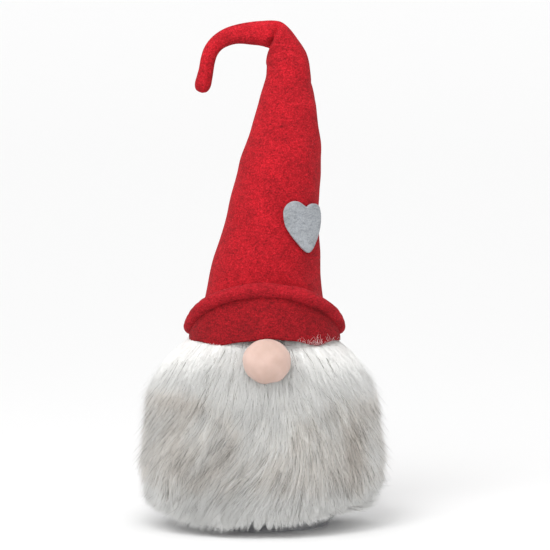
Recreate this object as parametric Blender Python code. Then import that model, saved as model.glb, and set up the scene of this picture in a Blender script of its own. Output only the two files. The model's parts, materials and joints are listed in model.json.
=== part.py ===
"""Tomte gnome figurine: a weighted felt body, a long-pile beard, a padded nose and a stuffed
felt hat on a soft wire, whose tip folds over to one side. +X is the figure's left hand side as
seen from the front, -Y is the front and +Z is up. The base stands on z = 0."""

import math

import bmesh
import bpy
from mathutils import Vector

MM = 0.001
GAP = 0.3 * MM

# Body of the figure, upright on the sole. Its axis lies behind the middle of the whole object,
# because the beard only covers the front and the sides.
AXIS_Y = 13.0 * MM
BODY_DEPTH_RATIO = 0.943
BODY_PROFILE = (
    (2.8, 52.0), (8.0, 59.0), (25.0, 68.0), (45.0, 70.0), (80.0, 70.0), (110.0, 68.0),
    (130.0, 63.5), (143.0, 57.5), (152.0, 51.0), (165.0, 44.0), (180.0, 34.0), (190.0, 24.0),
    (197.0, 11.0), (201.0, 7.0), (208.0, 12.0),
)
BODY_TOP = 208.0 * MM
BODY_FELT = 2.5 * MM
BACK_SEAM_HALF_ANGLE = math.radians(0.6)
BACK_SEAM_BOTTOM = 9.0 * MM
BACK_SEAM_TOP = 140.0 * MM
SOLE_THICKNESS = 2.5 * MM
SOLE_HALF_WIDTH = 54.0 * MM
BOARD_BOTTOM = 3.1 * MM
BOARD_TOP = 6.1 * MM
BOARD_HALF_WIDTH = 48.0 * MM
NECK_HEIGHT = 201.0 * MM
NECK_TIE_RADIUS = 1.0 * MM

# Ballast: a small tied bag of grit on the base board.
POUCH_PROFILE = (
    (6.5, 43.0), (9.5, 50.0), (21.0, 56.0), (28.0, 49.0), (32.0, 28.0), (33.5, 6.0), (37.0, 6.5),
)
POUCH_CLOTH = 1.0 * MM
POUCH_MOUTH_RADIUS = 6.5 * MM
GRIT_PROFILE = ((7.9, 40.0), (9.3, 46.0), (19.5, 52.5), (26.0, 45.0))
POUCH_NECK_HEIGHT = 35.0 * MM
STUFFING_BOTTOM = 39.5 * MM
STUFFING_TOP = 194.0 * MM

# Beard: a wide strip of long-pile fur on a knitted backing, from cheek to cheek.
BEARD_HALF_ANGLE = math.radians(115.0)
BACKING_BOTTOM = 14.0 * MM
BACKING_TOP = 154.0 * MM
BACKING_THICKNESS = 1.2 * MM
BEARD_TOP_STITCH_HEIGHT = 151.0 * MM
PILE_ROOT = 1.3 * MM
PILE_BOTTOM = 2.0 * MM
PILE_TOP = 148.2 * MM
PILE_DEPTH_RATIO = 0.915
PILE_EDGE_ANGLE = math.radians(28.0)
PILE_EDGE_SHARE = 0.25
PILE_PROFILE = (
    (2.0, 82.0), (9.0, 88.0), (15.0, 92.0), (28.0, 97.0), (41.0, 100.0), (54.0, 100.5),
    (73.0, 98.5), (92.0, 96.0), (105.0, 95.0), (111.0, 93.0), (118.0, 89.5), (124.0, 86.0),
    (130.0, 82.0), (137.0, 76.0), (143.0, 68.0), (148.2, 61.0),
)

# Nose: a padded ball, flattened where it is drawn against the body.
NOSE_CENTRE = Vector((4.0, -59.0, 139.6)) * MM
NOSE_HALF_WIDTH = 19.0 * MM
NOSE_HALF_HEIGHT = 17.6 * MM
NOSE_FRONT = 18.0 * MM
NOSE_BACK = 10.0 * MM
NOSE_CLOTH = 0.8 * MM
NOSE_MOUTH_ANGLE = math.radians(17.0)
NOSE_POCKET_GAP = 0.6 * MM
NOSE_POCKET_BACK = 14.0 * MM
NOSE_POLE_ANGLE = math.radians(3.0)
NOSE_RINGS = 12
NOSE_GATHER_RADIUS = 4.2 * MM

# Hat below the bend: a stuffed felt cone, a rolled tuck round its foot and a band under it.
HAT_DEPTH_RATIO = 0.95
HAT_FELT = 3.0 * MM
HAT_CENTRE = ((158.0, 1.0), (188.0, 1.5), (212.0, 3.5), (236.0, 7.0), (260.0, 10.5), (292.0, 15.0))
HAT_PROFILE = (
    (158.0, 52.6), (172.0, 49.5), (188.0, 46.0), (212.0, 43.0), (236.0, 39.0), (260.0, 35.0),
    (292.0, 31.5),
)
ROLL_SIDE_HEIGHT = 160.2 * MM
ROLL_RISE = 32.3 * MM
ROLL_TURN = 0.02
ROLL_HALF_WIDTH = 59.0 * MM
ROLL_FRONT_DEPTH = 48.0 * MM
ROLL_BACK_DEPTH = 56.0 * MM
ROLL_CENTRE_X = 2.0 * MM
ROLL_RADIUS = 6.0 * MM
ROLL_CORD_RADIUS = 2.6 * MM
ROLL_SLIT_ANGLE = math.radians(60.0)
ROLL_SECTION_POINTS = 11
CONE_FOOT_INSET = 6.4 * MM
CONE_FOOT_DROP = 2.0 * MM
CONE_PLAIN_HEIGHT = 208.0 * MM
CONE_FOOT_SHARES = (0.0, 0.34, 0.68)
HEM_HEIGHT = 149.5 * MM
HEM_HALF_WIDTH = 61.0 * MM
HEM_DEPTH_RATIO = 0.95
HEM_NOSE_LIFT = 8.5 * MM
HEM_NOSE_BULGE = 17.0 * MM
HEM_NOSE_SPREAD = 0.35
BAND_SHARES = (0.0, 0.3, 0.65, 1.0)
HAT_STUFFING_BOTTOM = 214.0 * MM

# Armature: soft steel wire up the middle of the hat, with a loop as its foot.
WIRE_RADIUS = 1.0 * MM
WIRE_BORE = 1.5 * MM
WIRE_STRAIGHT_TOP = 248.0 * MM
WIRE_FOOT_RADIUS = 14.0 * MM
WIRE_FOOT_HEIGHT = 211.0 * MM
WIRE_FOOT_TURN = math.radians(320.0)
WIRE_FOOT_ELBOW = Vector((0.3, -0.35, 0.0))
WIRE_END_MARGIN = 2.0 * MM

# Bend part way up the hat.
LEAN_PIVOT = Vector((15.0, 13.0, 292.0)) * MM
LEAN_BALL_RADIUS = 28.0 * MM
LEAN_CUP_CLEARANCE = 0.5 * MM
LEAN_HALF_GAP = 6.0 * MM
LEAN_CUP_RIM = 1.0 * MM

# Upper hat: x, z, half width and tilt of each cross-section, in mm and degrees.
UPPER_SECTIONS = (
    (15.0, 298.0, 30.8, 0.0), (17.2, 312.0, 28.4, 0.0), (19.0, 332.0, 24.4, 0.0),
    (20.2, 350.0, 19.8, 4.0), (19.2, 364.0, 16.8, 12.0), (17.0, 374.0, 15.8, 21.0),
    (15.35, 381.65, 15.3, 30.0),
)
UPPER_STUFFING_TOP = 4

# Fold at the crown, where the tip turns over to the side.
FOLD_PIVOT = Vector((14.0, 13.0, 384.0)) * MM
FOLD_BALL_RADIUS = 12.3 * MM
FOLD_AXIS_TILT = 52.4
FOLD_BALL_NECK = math.radians(112.0)
HORN_FELT = 2.5 * MM
HORN_SECTIONS = (
    (8.8, 390.2, 12.1, 52.4), (3.4, 392.0, 10.6, 72.0), (-2.0, 392.6, 9.6, 86.0),
    (-9.6, 392.8, 8.6, 91.0), (-20.8, 392.0, 7.2, 98.0), (-28.5, 389.4, 6.8, 112.0),
    (-34.5, 386.05, 6.34, 125.7),
)

# Curl at the end of the tip.
CURL_PIVOT = Vector((-36.0, 13.0, 385.0)) * MM
CURL_BALL_RADIUS = 3.8 * MM
CURL_FELT = 2.2 * MM
CURL_BALL_TILT = 128.0
CURL_BALL_NECK = math.radians(120.0)
CURL_SECTIONS = (
    (-37.35, 383.85, 6.24, 130.5), (-41.2, 378.6, 6.0, 152.0), (-43.4, 372.0, 6.0, 168.0),
    (-44.8, 364.0, 6.0, 172.0), (-46.4, 356.0, 6.4, 170.0), (-47.2, 350.8, 5.6, 168.0),
    (-47.7, 348.0, 2.6, 168.0),
)

# Heart cut from grey felt, glued on the right of the hat's front. Its outline runs from the
# notch round to the left, as (across, up) in mm.
HEART_AZIMUTH = math.radians(39.0)
HEART_HEIGHT = 241.5 * MM
HEART_OUTLINE = (
    (1.7, 15.4), (-1.9, 18.0), (-6.7, 20.6), (-11.4, 21.0), (-15.5, 18.6), (-17.7, 14.6),
    (-18.0, 9.6), (-16.7, 1.6), (-12.6, -5.4), (-6.7, -12.4), (-0.9, -18.2), (4.0, -20.8),
    (8.4, -18.2), (13.4, -10.4), (16.6, -1.4), (17.8, 7.6), (16.0, 14.4), (12.4, 17.6),
    (7.6, 18.4), (4.0, 17.2),
)
HEART_THICKNESS = 2.5 * MM
HEART_SHARES = (0.06, 0.4, 0.75, 1.0)
HEART_GLUE_THICKNESS = 0.6 * MM
HEART_GLUE_SHARES = (0.04, 0.33, 0.55)

SEAM_THREAD_RADIUS = 0.5 * MM
AROUND = 28
BEARD_COLUMNS = 30
FINE_AROUND = 16
CORD_AROUND = 8
ROLL_AROUND = 32
SHARP_ANGLE = math.radians(40.0)


# ---------------------------------------------------------------- interpolation and curves

def smooth(table, at):
    """Read a smooth curve through a table of (place, value) pairs, both in mm."""
    places = [place for place, value in table]
    values = [value for place, value in table]
    at_mm = min(max(at / MM, places[0]), places[-1])
    k = max(i for i in range(len(places) - 1) if places[i] <= at_mm)
    span = places[k + 1] - places[k]
    t = (at_mm - places[k]) / span

    def slope(i):
        low = max(i - 1, 0)
        high = min(i + 1, len(places) - 1)
        return (values[high] - values[low]) / (places[high] - places[low]) * span

    t2 = t * t
    t3 = t2 * t
    start = (2 * t3 - 3 * t2 + 1) * values[k] + (t3 - 2 * t2 + t) * slope(k)
    end = (3 * t2 - 2 * t3) * values[k + 1] + (t3 - t2) * slope(k + 1)
    return (start + end) * MM


def steps(low, high, count):
    """Return evenly spaced values from low to high, both included."""
    return [low + (high - low) * i / (count - 1) for i in range(count)]


def heights(table, low, high):
    """Return low, high and the table's own heights between them."""
    inner = [place * MM for place, value in table if low < place * MM < high]
    return [low] + inner + [high]


def plan_point(azimuth, half_width, half_depth, height, centre_x=0.0):
    """Return a point on an upright ellipse. Azimuth 0 is the front, positive towards +X."""
    x = centre_x + half_width * math.sin(azimuth)
    y = AXIS_Y - half_depth * math.cos(azimuth)
    return Vector((x, y, height))


def full_turn(count):
    """Return the azimuths of a closed ring of points."""
    return [2 * math.pi * i / count for i in range(count)]


def plan_ring(half_width, half_depth, height, centre_x=0.0, count=AROUND):
    """Return a level ring of points about the upright axis."""
    return [plan_point(a, half_width, half_depth, height, centre_x) for a in full_turn(count)]


def tilted_ring(centre, radius, tilt_degrees, depth_ratio=1.0, count=FINE_AROUND):
    """Return a ring whose normal leans from +Z towards -X by the tilt."""
    tilt = math.radians(tilt_degrees)
    across = Vector((math.cos(tilt), 0, math.sin(tilt)))
    back = Vector((0, depth_ratio, 0))
    return [centre + (across * math.cos(a) + back * math.sin(a)) * radius for a in full_turn(count)]


def section_ring(section, inset=0.0, depth_ratio=1.0, count=FINE_AROUND):
    """Return the ring of one (x, z, half width, tilt) section, drawn in by the inset."""
    x, z, half_width, tilt = section
    centre = Vector((x * MM, AXIS_Y, z * MM))
    return tilted_ring(centre, half_width * MM - inset, tilt, depth_ratio, count)


def ball_rings(
        centre, radius, tilt_degrees, low_angle, high_angle, count, depth_ratio=1.0,
        around=FINE_AROUND):
    """Return the rings of a ball between two angles from its lower pole, along a tilted axis."""
    tilt = math.radians(tilt_degrees)
    axis = Vector((-math.sin(tilt), 0, math.cos(tilt)))
    rings = []
    for angle in steps(low_angle, high_angle, count):
        middle = centre - axis * radius * math.cos(angle)
        rings.append(tilted_ring(middle, radius * math.sin(angle), tilt_degrees, depth_ratio, around))
    return rings


# ---------------------------------------------------------------- solids

def material(name, colour, roughness, metallic=0.0):
    """Return a plain surface for one sub-part."""
    surface = bpy.data.materials.new(name)
    surface.use_nodes = True
    shader = surface.node_tree.nodes["Principled BSDF"]
    shader.inputs["Base Color"].default_value = (*colour, 1.0)
    shader.inputs["Roughness"].default_value = roughness
    shader.inputs["Metallic"].default_value = metallic
    return surface


def place(name, bm, surface):
    """Turn a bmesh into a named object with its faces pointing out."""
    bmesh.ops.recalc_face_normals(bm, faces=bm.faces)
    mesh = bpy.data.meshes.new(name)
    bm.to_mesh(mesh)
    bm.free()
    mesh.materials.append(surface)
    mesh.shade_smooth()
    mesh.set_sharp_from_angle(angle=SHARP_ANGLE)
    obj = bpy.data.objects.new(name, mesh)
    bpy.context.collection.objects.link(obj)
    return obj


def loft(rings, closed=False):
    """Skin a row of rings. Ends get flat caps, unless the last ring joins the first again."""
    bm = bmesh.new()
    loops = [[bm.verts.new(point) for point in ring] for ring in rings]
    pairs = list(zip(loops, loops[1:]))
    if closed:
        pairs.append((loops[-1], loops[0]))
    for first, second in pairs:
        for i, vert in enumerate(first):
            j = (i + 1) % len(first)
            bm.faces.new((vert, first[j], second[j], second[i]))
    if not closed:
        bm.faces.new(loops[0])
        bm.faces.new(loops[-1])
    return bm


def slab(outer, inner):
    """Skin the space between two grids that have the same rows and columns."""
    bm = bmesh.new()
    grids = [[[bm.verts.new(point) for point in row] for row in grid] for grid in (outer, inner)]
    rows = len(outer)
    columns = len(outer[0])
    for grid in grids:
        for i in range(rows - 1):
            for j in range(columns - 1):
                bm.faces.new((grid[i][j], grid[i][j + 1], grid[i + 1][j + 1], grid[i + 1][j]))
    front, back = grids
    for i in (0, rows - 1):
        for j in range(columns - 1):
            bm.faces.new((front[i][j], front[i][j + 1], back[i][j + 1], back[i][j]))
    for j in (0, columns - 1):
        for i in range(rows - 1):
            bm.faces.new((front[i][j], front[i + 1][j], back[i + 1][j], back[i][j]))
    return bm


def thread(name, points, radius, surface, closed=False):
    """Lay a round thread, cord or wire along a row of points."""
    curve = bpy.data.curves.new(name, "CURVE")
    curve.dimensions = "3D"
    curve.bevel_depth = radius
    curve.bevel_resolution = 1
    curve.use_fill_caps = True
    spline = curve.splines.new("POLY")
    spline.points.add(len(points) - 1)
    for point, place_at in zip(spline.points, points):
        point.co = (*place_at, 1.0)
    spline.use_cyclic_u = closed
    curve.materials.append(surface)
    obj = bpy.data.objects.new(name, curve)
    bpy.context.collection.objects.link(obj)
    return obj


def tie(name, centre, half_width, half_depth, radius, surface, count=20):
    """Tie a round thread about a level ring."""
    points = []
    for azimuth in full_turn(count):
        away = Vector((half_width * math.sin(azimuth), -half_depth * math.cos(azimuth), 0))
        points.append(centre + away)
    return thread(name, points, radius, surface, closed=True)


# ---------------------------------------------------------------- body

def body_width(height, inset=0.0):
    """Return the half width and half depth of the body's felt at a height."""
    half_width = smooth(BODY_PROFILE, height)
    return half_width - inset, half_width * BODY_DEPTH_RATIO - inset


def body_grid(low, high, azimuths, outset, extra=()):
    """Return rows of points on the body, drawn out by the outset."""
    rows = []
    for height in sorted(set(heights(BODY_PROFILE, low, high)) | set(extra)):
        half_width, half_depth = body_width(height, -outset)
        rows.append([plan_point(a, half_width, half_depth, height) for a in azimuths])
    return rows


def make_body(felt, cloth, board, grit, fill, cord):
    """Make the sole, base board, ballast, felt cover, filling and their ties."""
    low, high = 0.0, SOLE_THICKNESS
    depth = SOLE_HALF_WIDTH * BODY_DEPTH_RATIO
    place("sole_felt", loft([plan_ring(SOLE_HALF_WIDTH, depth, z) for z in (low, high)]), felt)

    depth = BOARD_HALF_WIDTH * BODY_DEPTH_RATIO
    rings = [plan_ring(BOARD_HALF_WIDTH, depth, z) for z in (BOARD_BOTTOM, BOARD_TOP)]
    place("base_board", loft(rings), board)

    outer = []
    inner = []
    floor = POUCH_PROFILE[0][0] * MM + POUCH_CLOTH
    for place_mm, half_mm in POUCH_PROFILE:
        half = half_mm * MM
        height = place_mm * MM
        outer.append(plan_ring(half, half * BODY_DEPTH_RATIO, height))
        if half > POUCH_MOUTH_RADIUS + 2 * POUCH_CLOTH:
            height = max(height - POUCH_CLOTH, floor)
        inner.append(plan_ring(half - POUCH_CLOTH, half * BODY_DEPTH_RATIO - POUCH_CLOTH, height))
    place("ballast_pouch", loft(list(reversed(inner)) + outer), cloth)

    rings = []
    for place_mm, half_mm in GRIT_PROFILE:
        half = half_mm * MM
        rings.append(plan_ring(half, half * BODY_DEPTH_RATIO, place_mm * MM))
    place("ballast_grit", loft(rings), grit)
    neck = Vector((0, AXIS_Y, POUCH_NECK_HEIGHT))
    neck_radius = POUCH_MOUTH_RADIUS + GAP + SEAM_THREAD_RADIUS
    tie("pouch_tie", neck, neck_radius, neck_radius, SEAM_THREAD_RADIUS, cord, FINE_AROUND)

    azimuths = steps(-math.pi + BACK_SEAM_HALF_ANGLE, math.pi - BACK_SEAM_HALF_ANGLE, AROUND + 1)
    low = BODY_PROFILE[0][0] * MM
    outer = body_grid(low, BODY_TOP, azimuths, 0.0)
    inner = body_grid(low, BODY_TOP, azimuths, -BODY_FELT)
    place("body_cover", slab(outer, inner), felt)

    rings = []
    for height in heights(BODY_PROFILE, STUFFING_BOTTOM, STUFFING_TOP):
        half_width, half_depth = body_width(height, BODY_FELT + 4 * GAP)
        rings.append(plan_ring(half_width, half_depth, height))
    place("body_stuffing", loft(rings), fill)

    radius = smooth(BODY_PROFILE, NECK_HEIGHT) + NECK_TIE_RADIUS + 2 * GAP
    neck = Vector((0, AXIS_Y, NECK_HEIGHT))
    tie("neck_tie", neck, radius, radius * BODY_DEPTH_RATIO + GAP, NECK_TIE_RADIUS, cord, FINE_AROUND)

    points = []
    outset = SEAM_THREAD_RADIUS + 2 * GAP
    for height in steps(BACK_SEAM_BOTTOM, BACK_SEAM_TOP, FINE_AROUND):
        half_width, half_depth = body_width(height, -outset)
        points.append(plan_point(math.pi, half_width, half_depth, height))
    thread("body_back_seam", points, SEAM_THREAD_RADIUS, cord)


# ---------------------------------------------------------------- beard

def pile_thickness_share(azimuth):
    """Return how full the pile is at an azimuth: it thins out to the strip's two side edges."""
    left = BEARD_HALF_ANGLE - abs(azimuth)
    share = min(left / PILE_EDGE_ANGLE, 1.0)
    return PILE_EDGE_SHARE + (1 - PILE_EDGE_SHARE) * math.sin(share * math.pi / 2)


def make_beard(knit, fur, cord):
    """Make the fur strip's backing, its pile and the stitches along its top edge."""
    azimuths = steps(-BEARD_HALF_ANGLE, BEARD_HALF_ANGLE, BEARD_COLUMNS + 1)
    extra = (BACKING_TOP,)
    inner = body_grid(BACKING_BOTTOM, BACKING_TOP, azimuths, GAP, extra)
    outer = body_grid(BACKING_BOTTOM, BACKING_TOP, azimuths, GAP + BACKING_THICKNESS, extra)
    place("beard_backing", slab(outer, inner), knit)

    clear = PILE_ROOT + BACKING_THICKNESS
    levels = heights(PILE_PROFILE, PILE_BOTTOM, PILE_TOP)
    inner = []
    outer = []
    for height in levels:
        near = body_width(height, -clear)
        far_width = smooth(PILE_PROFILE, height)
        far_depth = far_width * PILE_DEPTH_RATIO
        inner.append([plan_point(a, near[0], near[1], height) for a in azimuths])
        row = []
        for azimuth in azimuths:
            share = pile_thickness_share(azimuth)
            half_width = near[0] + (far_width - near[0]) * share
            half_depth = near[1] + (far_depth - near[1]) * share
            row.append(plan_point(azimuth, half_width, half_depth, height))
        outer.append(row)
    pile = place("beard_pile", slab(outer, inner), fur)

    cutter = place("nose_pocket", nose_ball(NOSE_POCKET_GAP), fur)
    cutter.hide_render = True
    cutter.display_type = "WIRE"
    pocket = pile.modifiers.new("nose_pocket", "BOOLEAN")
    pocket.operation = "DIFFERENCE"
    pocket.object = cutter

    points = []
    outset = clear + SEAM_THREAD_RADIUS
    half_width, half_depth = body_width(BEARD_TOP_STITCH_HEIGHT, -outset)
    for azimuth in steps(-BEARD_HALF_ANGLE, BEARD_HALF_ANGLE, AROUND):
        points.append(plan_point(azimuth, half_width, half_depth, BEARD_TOP_STITCH_HEIGHT))
    thread("beard_stitches", points, SEAM_THREAD_RADIUS, cord)


# ---------------------------------------------------------------- nose

def nose_rings(inset, first_angle, last_angle, count, back=NOSE_BACK):
    """Return the nose's rings about its front-to-back axis, from the back pole's angle on."""
    rings = []
    for angle in steps(first_angle, last_angle, count):
        along = -math.cos(angle)
        depth = NOSE_FRONT if along > 0 else back
        y = NOSE_CENTRE.y - along * (depth - inset)
        ring = []
        for turn in full_turn(FINE_AROUND):
            x = NOSE_CENTRE.x + (NOSE_HALF_WIDTH - inset) * math.sin(angle) * math.cos(turn)
            z = NOSE_CENTRE.z + (NOSE_HALF_HEIGHT - inset) * math.sin(angle) * math.sin(turn)
            ring.append(Vector((x, y, z)))
        rings.append(ring)
    return rings


def nose_ball(outset):
    """Return the closed form of the whole nose, swollen by the outset, with room for its thread."""
    rings = nose_rings(
        -outset, NOSE_POLE_ANGLE, math.pi - NOSE_POLE_ANGLE, NOSE_RINGS, NOSE_POCKET_BACK)
    return loft(rings)


def make_nose(knit, fill, cord):
    """Make the nose's cover, which is open at the back, its filling and the gathering thread."""
    front_pole = math.pi - NOSE_POLE_ANGLE
    outer = nose_rings(0.0, NOSE_MOUTH_ANGLE, front_pole, NOSE_RINGS)
    inner = nose_rings(NOSE_CLOTH, NOSE_MOUTH_ANGLE, front_pole, NOSE_RINGS)
    place("nose_cover", loft(list(reversed(inner)) + outer), knit)
    filling = nose_rings(NOSE_CLOTH + 2 * GAP, NOSE_MOUTH_ANGLE, front_pole, NOSE_RINGS)
    place("nose_stuffing", loft(filling), fill)
    points = []
    y = NOSE_CENTRE.y + NOSE_BACK + 2 * SEAM_THREAD_RADIUS - GAP
    for turn in full_turn(FINE_AROUND):
        x = NOSE_CENTRE.x + NOSE_GATHER_RADIUS * math.cos(turn)
        z = NOSE_CENTRE.z + NOSE_GATHER_RADIUS * math.sin(turn)
        points.append(Vector((x, y, z)))
    thread("nose_gather_thread", points, SEAM_THREAD_RADIUS, cord, closed=True)


# ---------------------------------------------------------------- lower hat

def roll_centre(azimuth):
    """Return the middle of the rolled tuck, which climbs over the front of the hat."""
    towards_front = math.cos(azimuth)
    rise = (towards_front + math.sqrt(towards_front ** 2 + ROLL_TURN)) / 2
    depth = ROLL_FRONT_DEPTH if towards_front > 0 else ROLL_BACK_DEPTH
    height = ROLL_SIDE_HEIGHT + ROLL_RISE * rise
    return plan_point(azimuth, ROLL_HALF_WIDTH, depth, height, ROLL_CENTRE_X)


def roll_section(azimuth, radius, angles):
    """Return points about the roll's middle. Angle 0 points outwards and 90 degrees up."""
    outwards = Vector((math.sin(azimuth), -math.cos(azimuth), 0))
    up = Vector((0, 0, 1))
    centre = roll_centre(azimuth)
    return [centre + (outwards * math.cos(a) + up * math.sin(a)) * radius for a in angles]


def make_roll(felt, cord):
    """Make the rolled tuck, open along its underside, and the cord that fills it."""
    slit = -math.pi / 2
    half_slit = ROLL_SLIT_ANGLE / 2
    outer_angles = steps(slit + half_slit, slit + 2 * math.pi - half_slit, ROLL_SECTION_POINTS)
    inner_angles = list(reversed(outer_angles))[::2]
    rings = []
    cords = []
    for azimuth in full_turn(ROLL_AROUND):
        outer = roll_section(azimuth, ROLL_RADIUS, outer_angles)
        inner = roll_section(azimuth, ROLL_CORD_RADIUS + 2 * GAP, inner_angles)
        rings.append(outer + inner)
        cords.append(roll_section(azimuth, ROLL_CORD_RADIUS, full_turn(CORD_AROUND)))
    place("hat_roll", loft(rings, closed=True), felt)
    place("roll_cord", loft(cords, closed=True), cord)


def nose_nearness(azimuth):
    """Return how strongly the nose below pushes the hem out at an azimuth, from 0 to 1."""
    away = azimuth - NOSE_CENTRE.x / HEM_HALF_WIDTH
    away = math.atan2(math.sin(away), math.cos(away))
    return math.exp(-(away / HEM_NOSE_SPREAD) ** 2)


def band_ring(share, inset):
    """Return one ring of the band, from the hem at share 0 up to the roll at share 1."""
    ring = []
    for azimuth in full_turn(AROUND * 2):
        near = nose_nearness(azimuth)
        hem_width = HEM_HALF_WIDTH - inset
        hem_depth = HEM_HALF_WIDTH * HEM_DEPTH_RATIO - inset + HEM_NOSE_BULGE * near
        hem_height = HEM_HEIGHT + HEM_NOSE_LIFT * near
        hem = plan_point(azimuth, hem_width, hem_depth, hem_height, ROLL_CENTRE_X)
        outwards = Vector((math.sin(azimuth), -math.cos(azimuth), 0))
        top = roll_centre(azimuth) - outwards * inset - Vector((0, 0, ROLL_RADIUS + 2 * GAP))
        ring.append(hem.lerp(top, share))
    return ring


def make_band(felt):
    """Make the felt band between the hem and the roll. It rides up over the nose."""
    outer = [band_ring(share, 0.0) for share in BAND_SHARES]
    inner = [band_ring(share, HAT_FELT) for share in reversed(BAND_SHARES)]
    place("hat_band", loft(outer + inner, closed=True), felt)


def cone_ring(height, inset):
    """Return a level ring of the lower cone."""
    half = smooth(HAT_PROFILE, height)
    centre_x = smooth(HAT_CENTRE, height)
    return plan_ring(half - inset, half * HAT_DEPTH_RATIO - inset, height, centre_x)


def cone_foot_ring(share, inset):
    """Return a ring between the cone's foot inside the roll, at share 0, and its plain part."""
    ring = []
    plain = cone_ring(CONE_PLAIN_HEIGHT, inset)
    for azimuth, above in zip(full_turn(AROUND), plain):
        outwards = Vector((math.sin(azimuth), -math.cos(azimuth), 0))
        foot = roll_centre(azimuth) - outwards * (CONE_FOOT_INSET + inset)
        foot.z -= CONE_FOOT_DROP
        ring.append(foot.lerp(above, share))
    return ring


def cone_point(azimuth, height, outset):
    """Return a point on the lower cone, drawn out by the outset."""
    half = smooth(HAT_PROFILE, height) + outset
    depth = smooth(HAT_PROFILE, height) * HAT_DEPTH_RATIO + outset
    return plan_point(azimuth, half, depth, height, smooth(HAT_CENTRE, height))


def wire_path(low, high):
    """Return the middle of the lower hat between two heights."""
    levels = heights(HAT_CENTRE, low, high)
    return [Vector((smooth(HAT_CENTRE, z), AXIS_Y, z)) for z in levels]


def bore_ring(centre, tilt=0.0, count=AROUND):
    """Return a ring of the hole that the wire runs in."""
    return tilted_ring(centre, WIRE_BORE, tilt, 1.0, count)


def make_lower_hat(felt, fill, steel, cord):
    """Make the cone's lower part with its filling, back seam and wire."""
    rim = LEAN_PIVOT.z - LEAN_HALF_GAP
    levels = heights(HAT_PROFILE, CONE_PLAIN_HEIGHT, rim)
    outer = [cone_foot_ring(s, 0.0) for s in CONE_FOOT_SHARES]
    outer += [cone_ring(z, 0.0) for z in levels]
    inner = [cone_foot_ring(s, HAT_FELT) for s in CONE_FOOT_SHARES]
    inner += [cone_ring(z, HAT_FELT) for z in levels]
    place("hat_cone_lower", loft(outer + list(reversed(inner)), closed=True), felt)

    cup_radius = LEAN_BALL_RADIUS + LEAN_CUP_CLEARANCE
    lip_angle = math.acos((LEAN_HALF_GAP + LEAN_CUP_RIM) / cup_radius)
    bore_angle = math.asin(WIRE_BORE / cup_radius)
    cup = ball_rings(
        LEAN_PIVOT, cup_radius, 0.0, bore_angle, lip_angle, 6, HAT_DEPTH_RATIO, AROUND)
    turned = [[ring[(i - AROUND // 4) % AROUND] for i in range(AROUND)] for ring in cup]
    skin = HAT_FELT + 2 * GAP
    stuffing_top = rim - LEAN_CUP_RIM
    levels = heights(HAT_PROFILE, HAT_STUFFING_BOTTOM, stuffing_top)
    sides = [cone_ring(z, skin) for z in levels]
    path = wire_path(HAT_STUFFING_BOTTOM, WIRE_STRAIGHT_TOP)
    bores = [plan_ring(WIRE_BORE, WIRE_BORE, point.z, point.x) for point in reversed(path)]
    rings = sides + list(reversed(turned)) + bores
    place("hat_stuffing_lower", loft(rings, closed=True), fill)

    foot = Vector((smooth(HAT_CENTRE, WIRE_FOOT_HEIGHT), AXIS_Y, WIRE_FOOT_HEIGHT))
    points = []
    for turn in steps(0.0, WIRE_FOOT_TURN, 14):
        points.append(foot + Vector((math.cos(turn), math.sin(turn), 0)) * WIRE_FOOT_RADIUS)
    points.append(foot + WIRE_FOOT_ELBOW * WIRE_FOOT_RADIUS)
    points.append(foot)
    points.extend(path)
    points.append(LEAN_PIVOT - Vector((0, 0, cup_radius + WIRE_RADIUS)))
    thread("hat_wire_lower", points, WIRE_RADIUS, steel)

    outset = SEAM_THREAD_RADIUS + 2 * GAP
    levels = steps(CONE_PLAIN_HEIGHT, stuffing_top, 10)
    points = [cone_point(math.pi, z, outset) for z in levels]
    thread("hat_back_seam_lower", points, SEAM_THREAD_RADIUS, cord)


# ---------------------------------------------------------------- heart

def heart_ring(share, outset):
    """Return a heart-shaped ring on the cone, scaled about its middle."""
    ring = []
    for across_mm, up_mm in HEART_OUTLINE:
        height = HEART_HEIGHT + up_mm * share * MM
        radius = smooth(HAT_PROFILE, height) + outset
        azimuth = HEART_AZIMUTH + across_mm * share * MM / radius
        ring.append(cone_point(azimuth, height, outset))
    return ring


def make_heart(felt, glue):
    """Make the felt heart and the patch of glue that holds it to the hat."""
    low = 2 * GAP
    high = low + HEART_GLUE_THICKNESS
    back = [heart_ring(share, low) for share in HEART_GLUE_SHARES]
    front = [heart_ring(share, high) for share in reversed(HEART_GLUE_SHARES)]
    place("heart_glue", loft(back + front), glue)
    low = high + GAP
    high = low + HEART_THICKNESS
    back = [heart_ring(share, low) for share in HEART_SHARES]
    front = [heart_ring(share, high) for share in reversed(HEART_SHARES)]
    place("heart_patch", loft(back + front), felt)


# ---------------------------------------------------------------- upper hat and tip

def section_centre(section):
    """Return the middle of an (x, z, half width, tilt) section."""
    return Vector((section[0] * MM, AXIS_Y, section[1] * MM))


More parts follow.
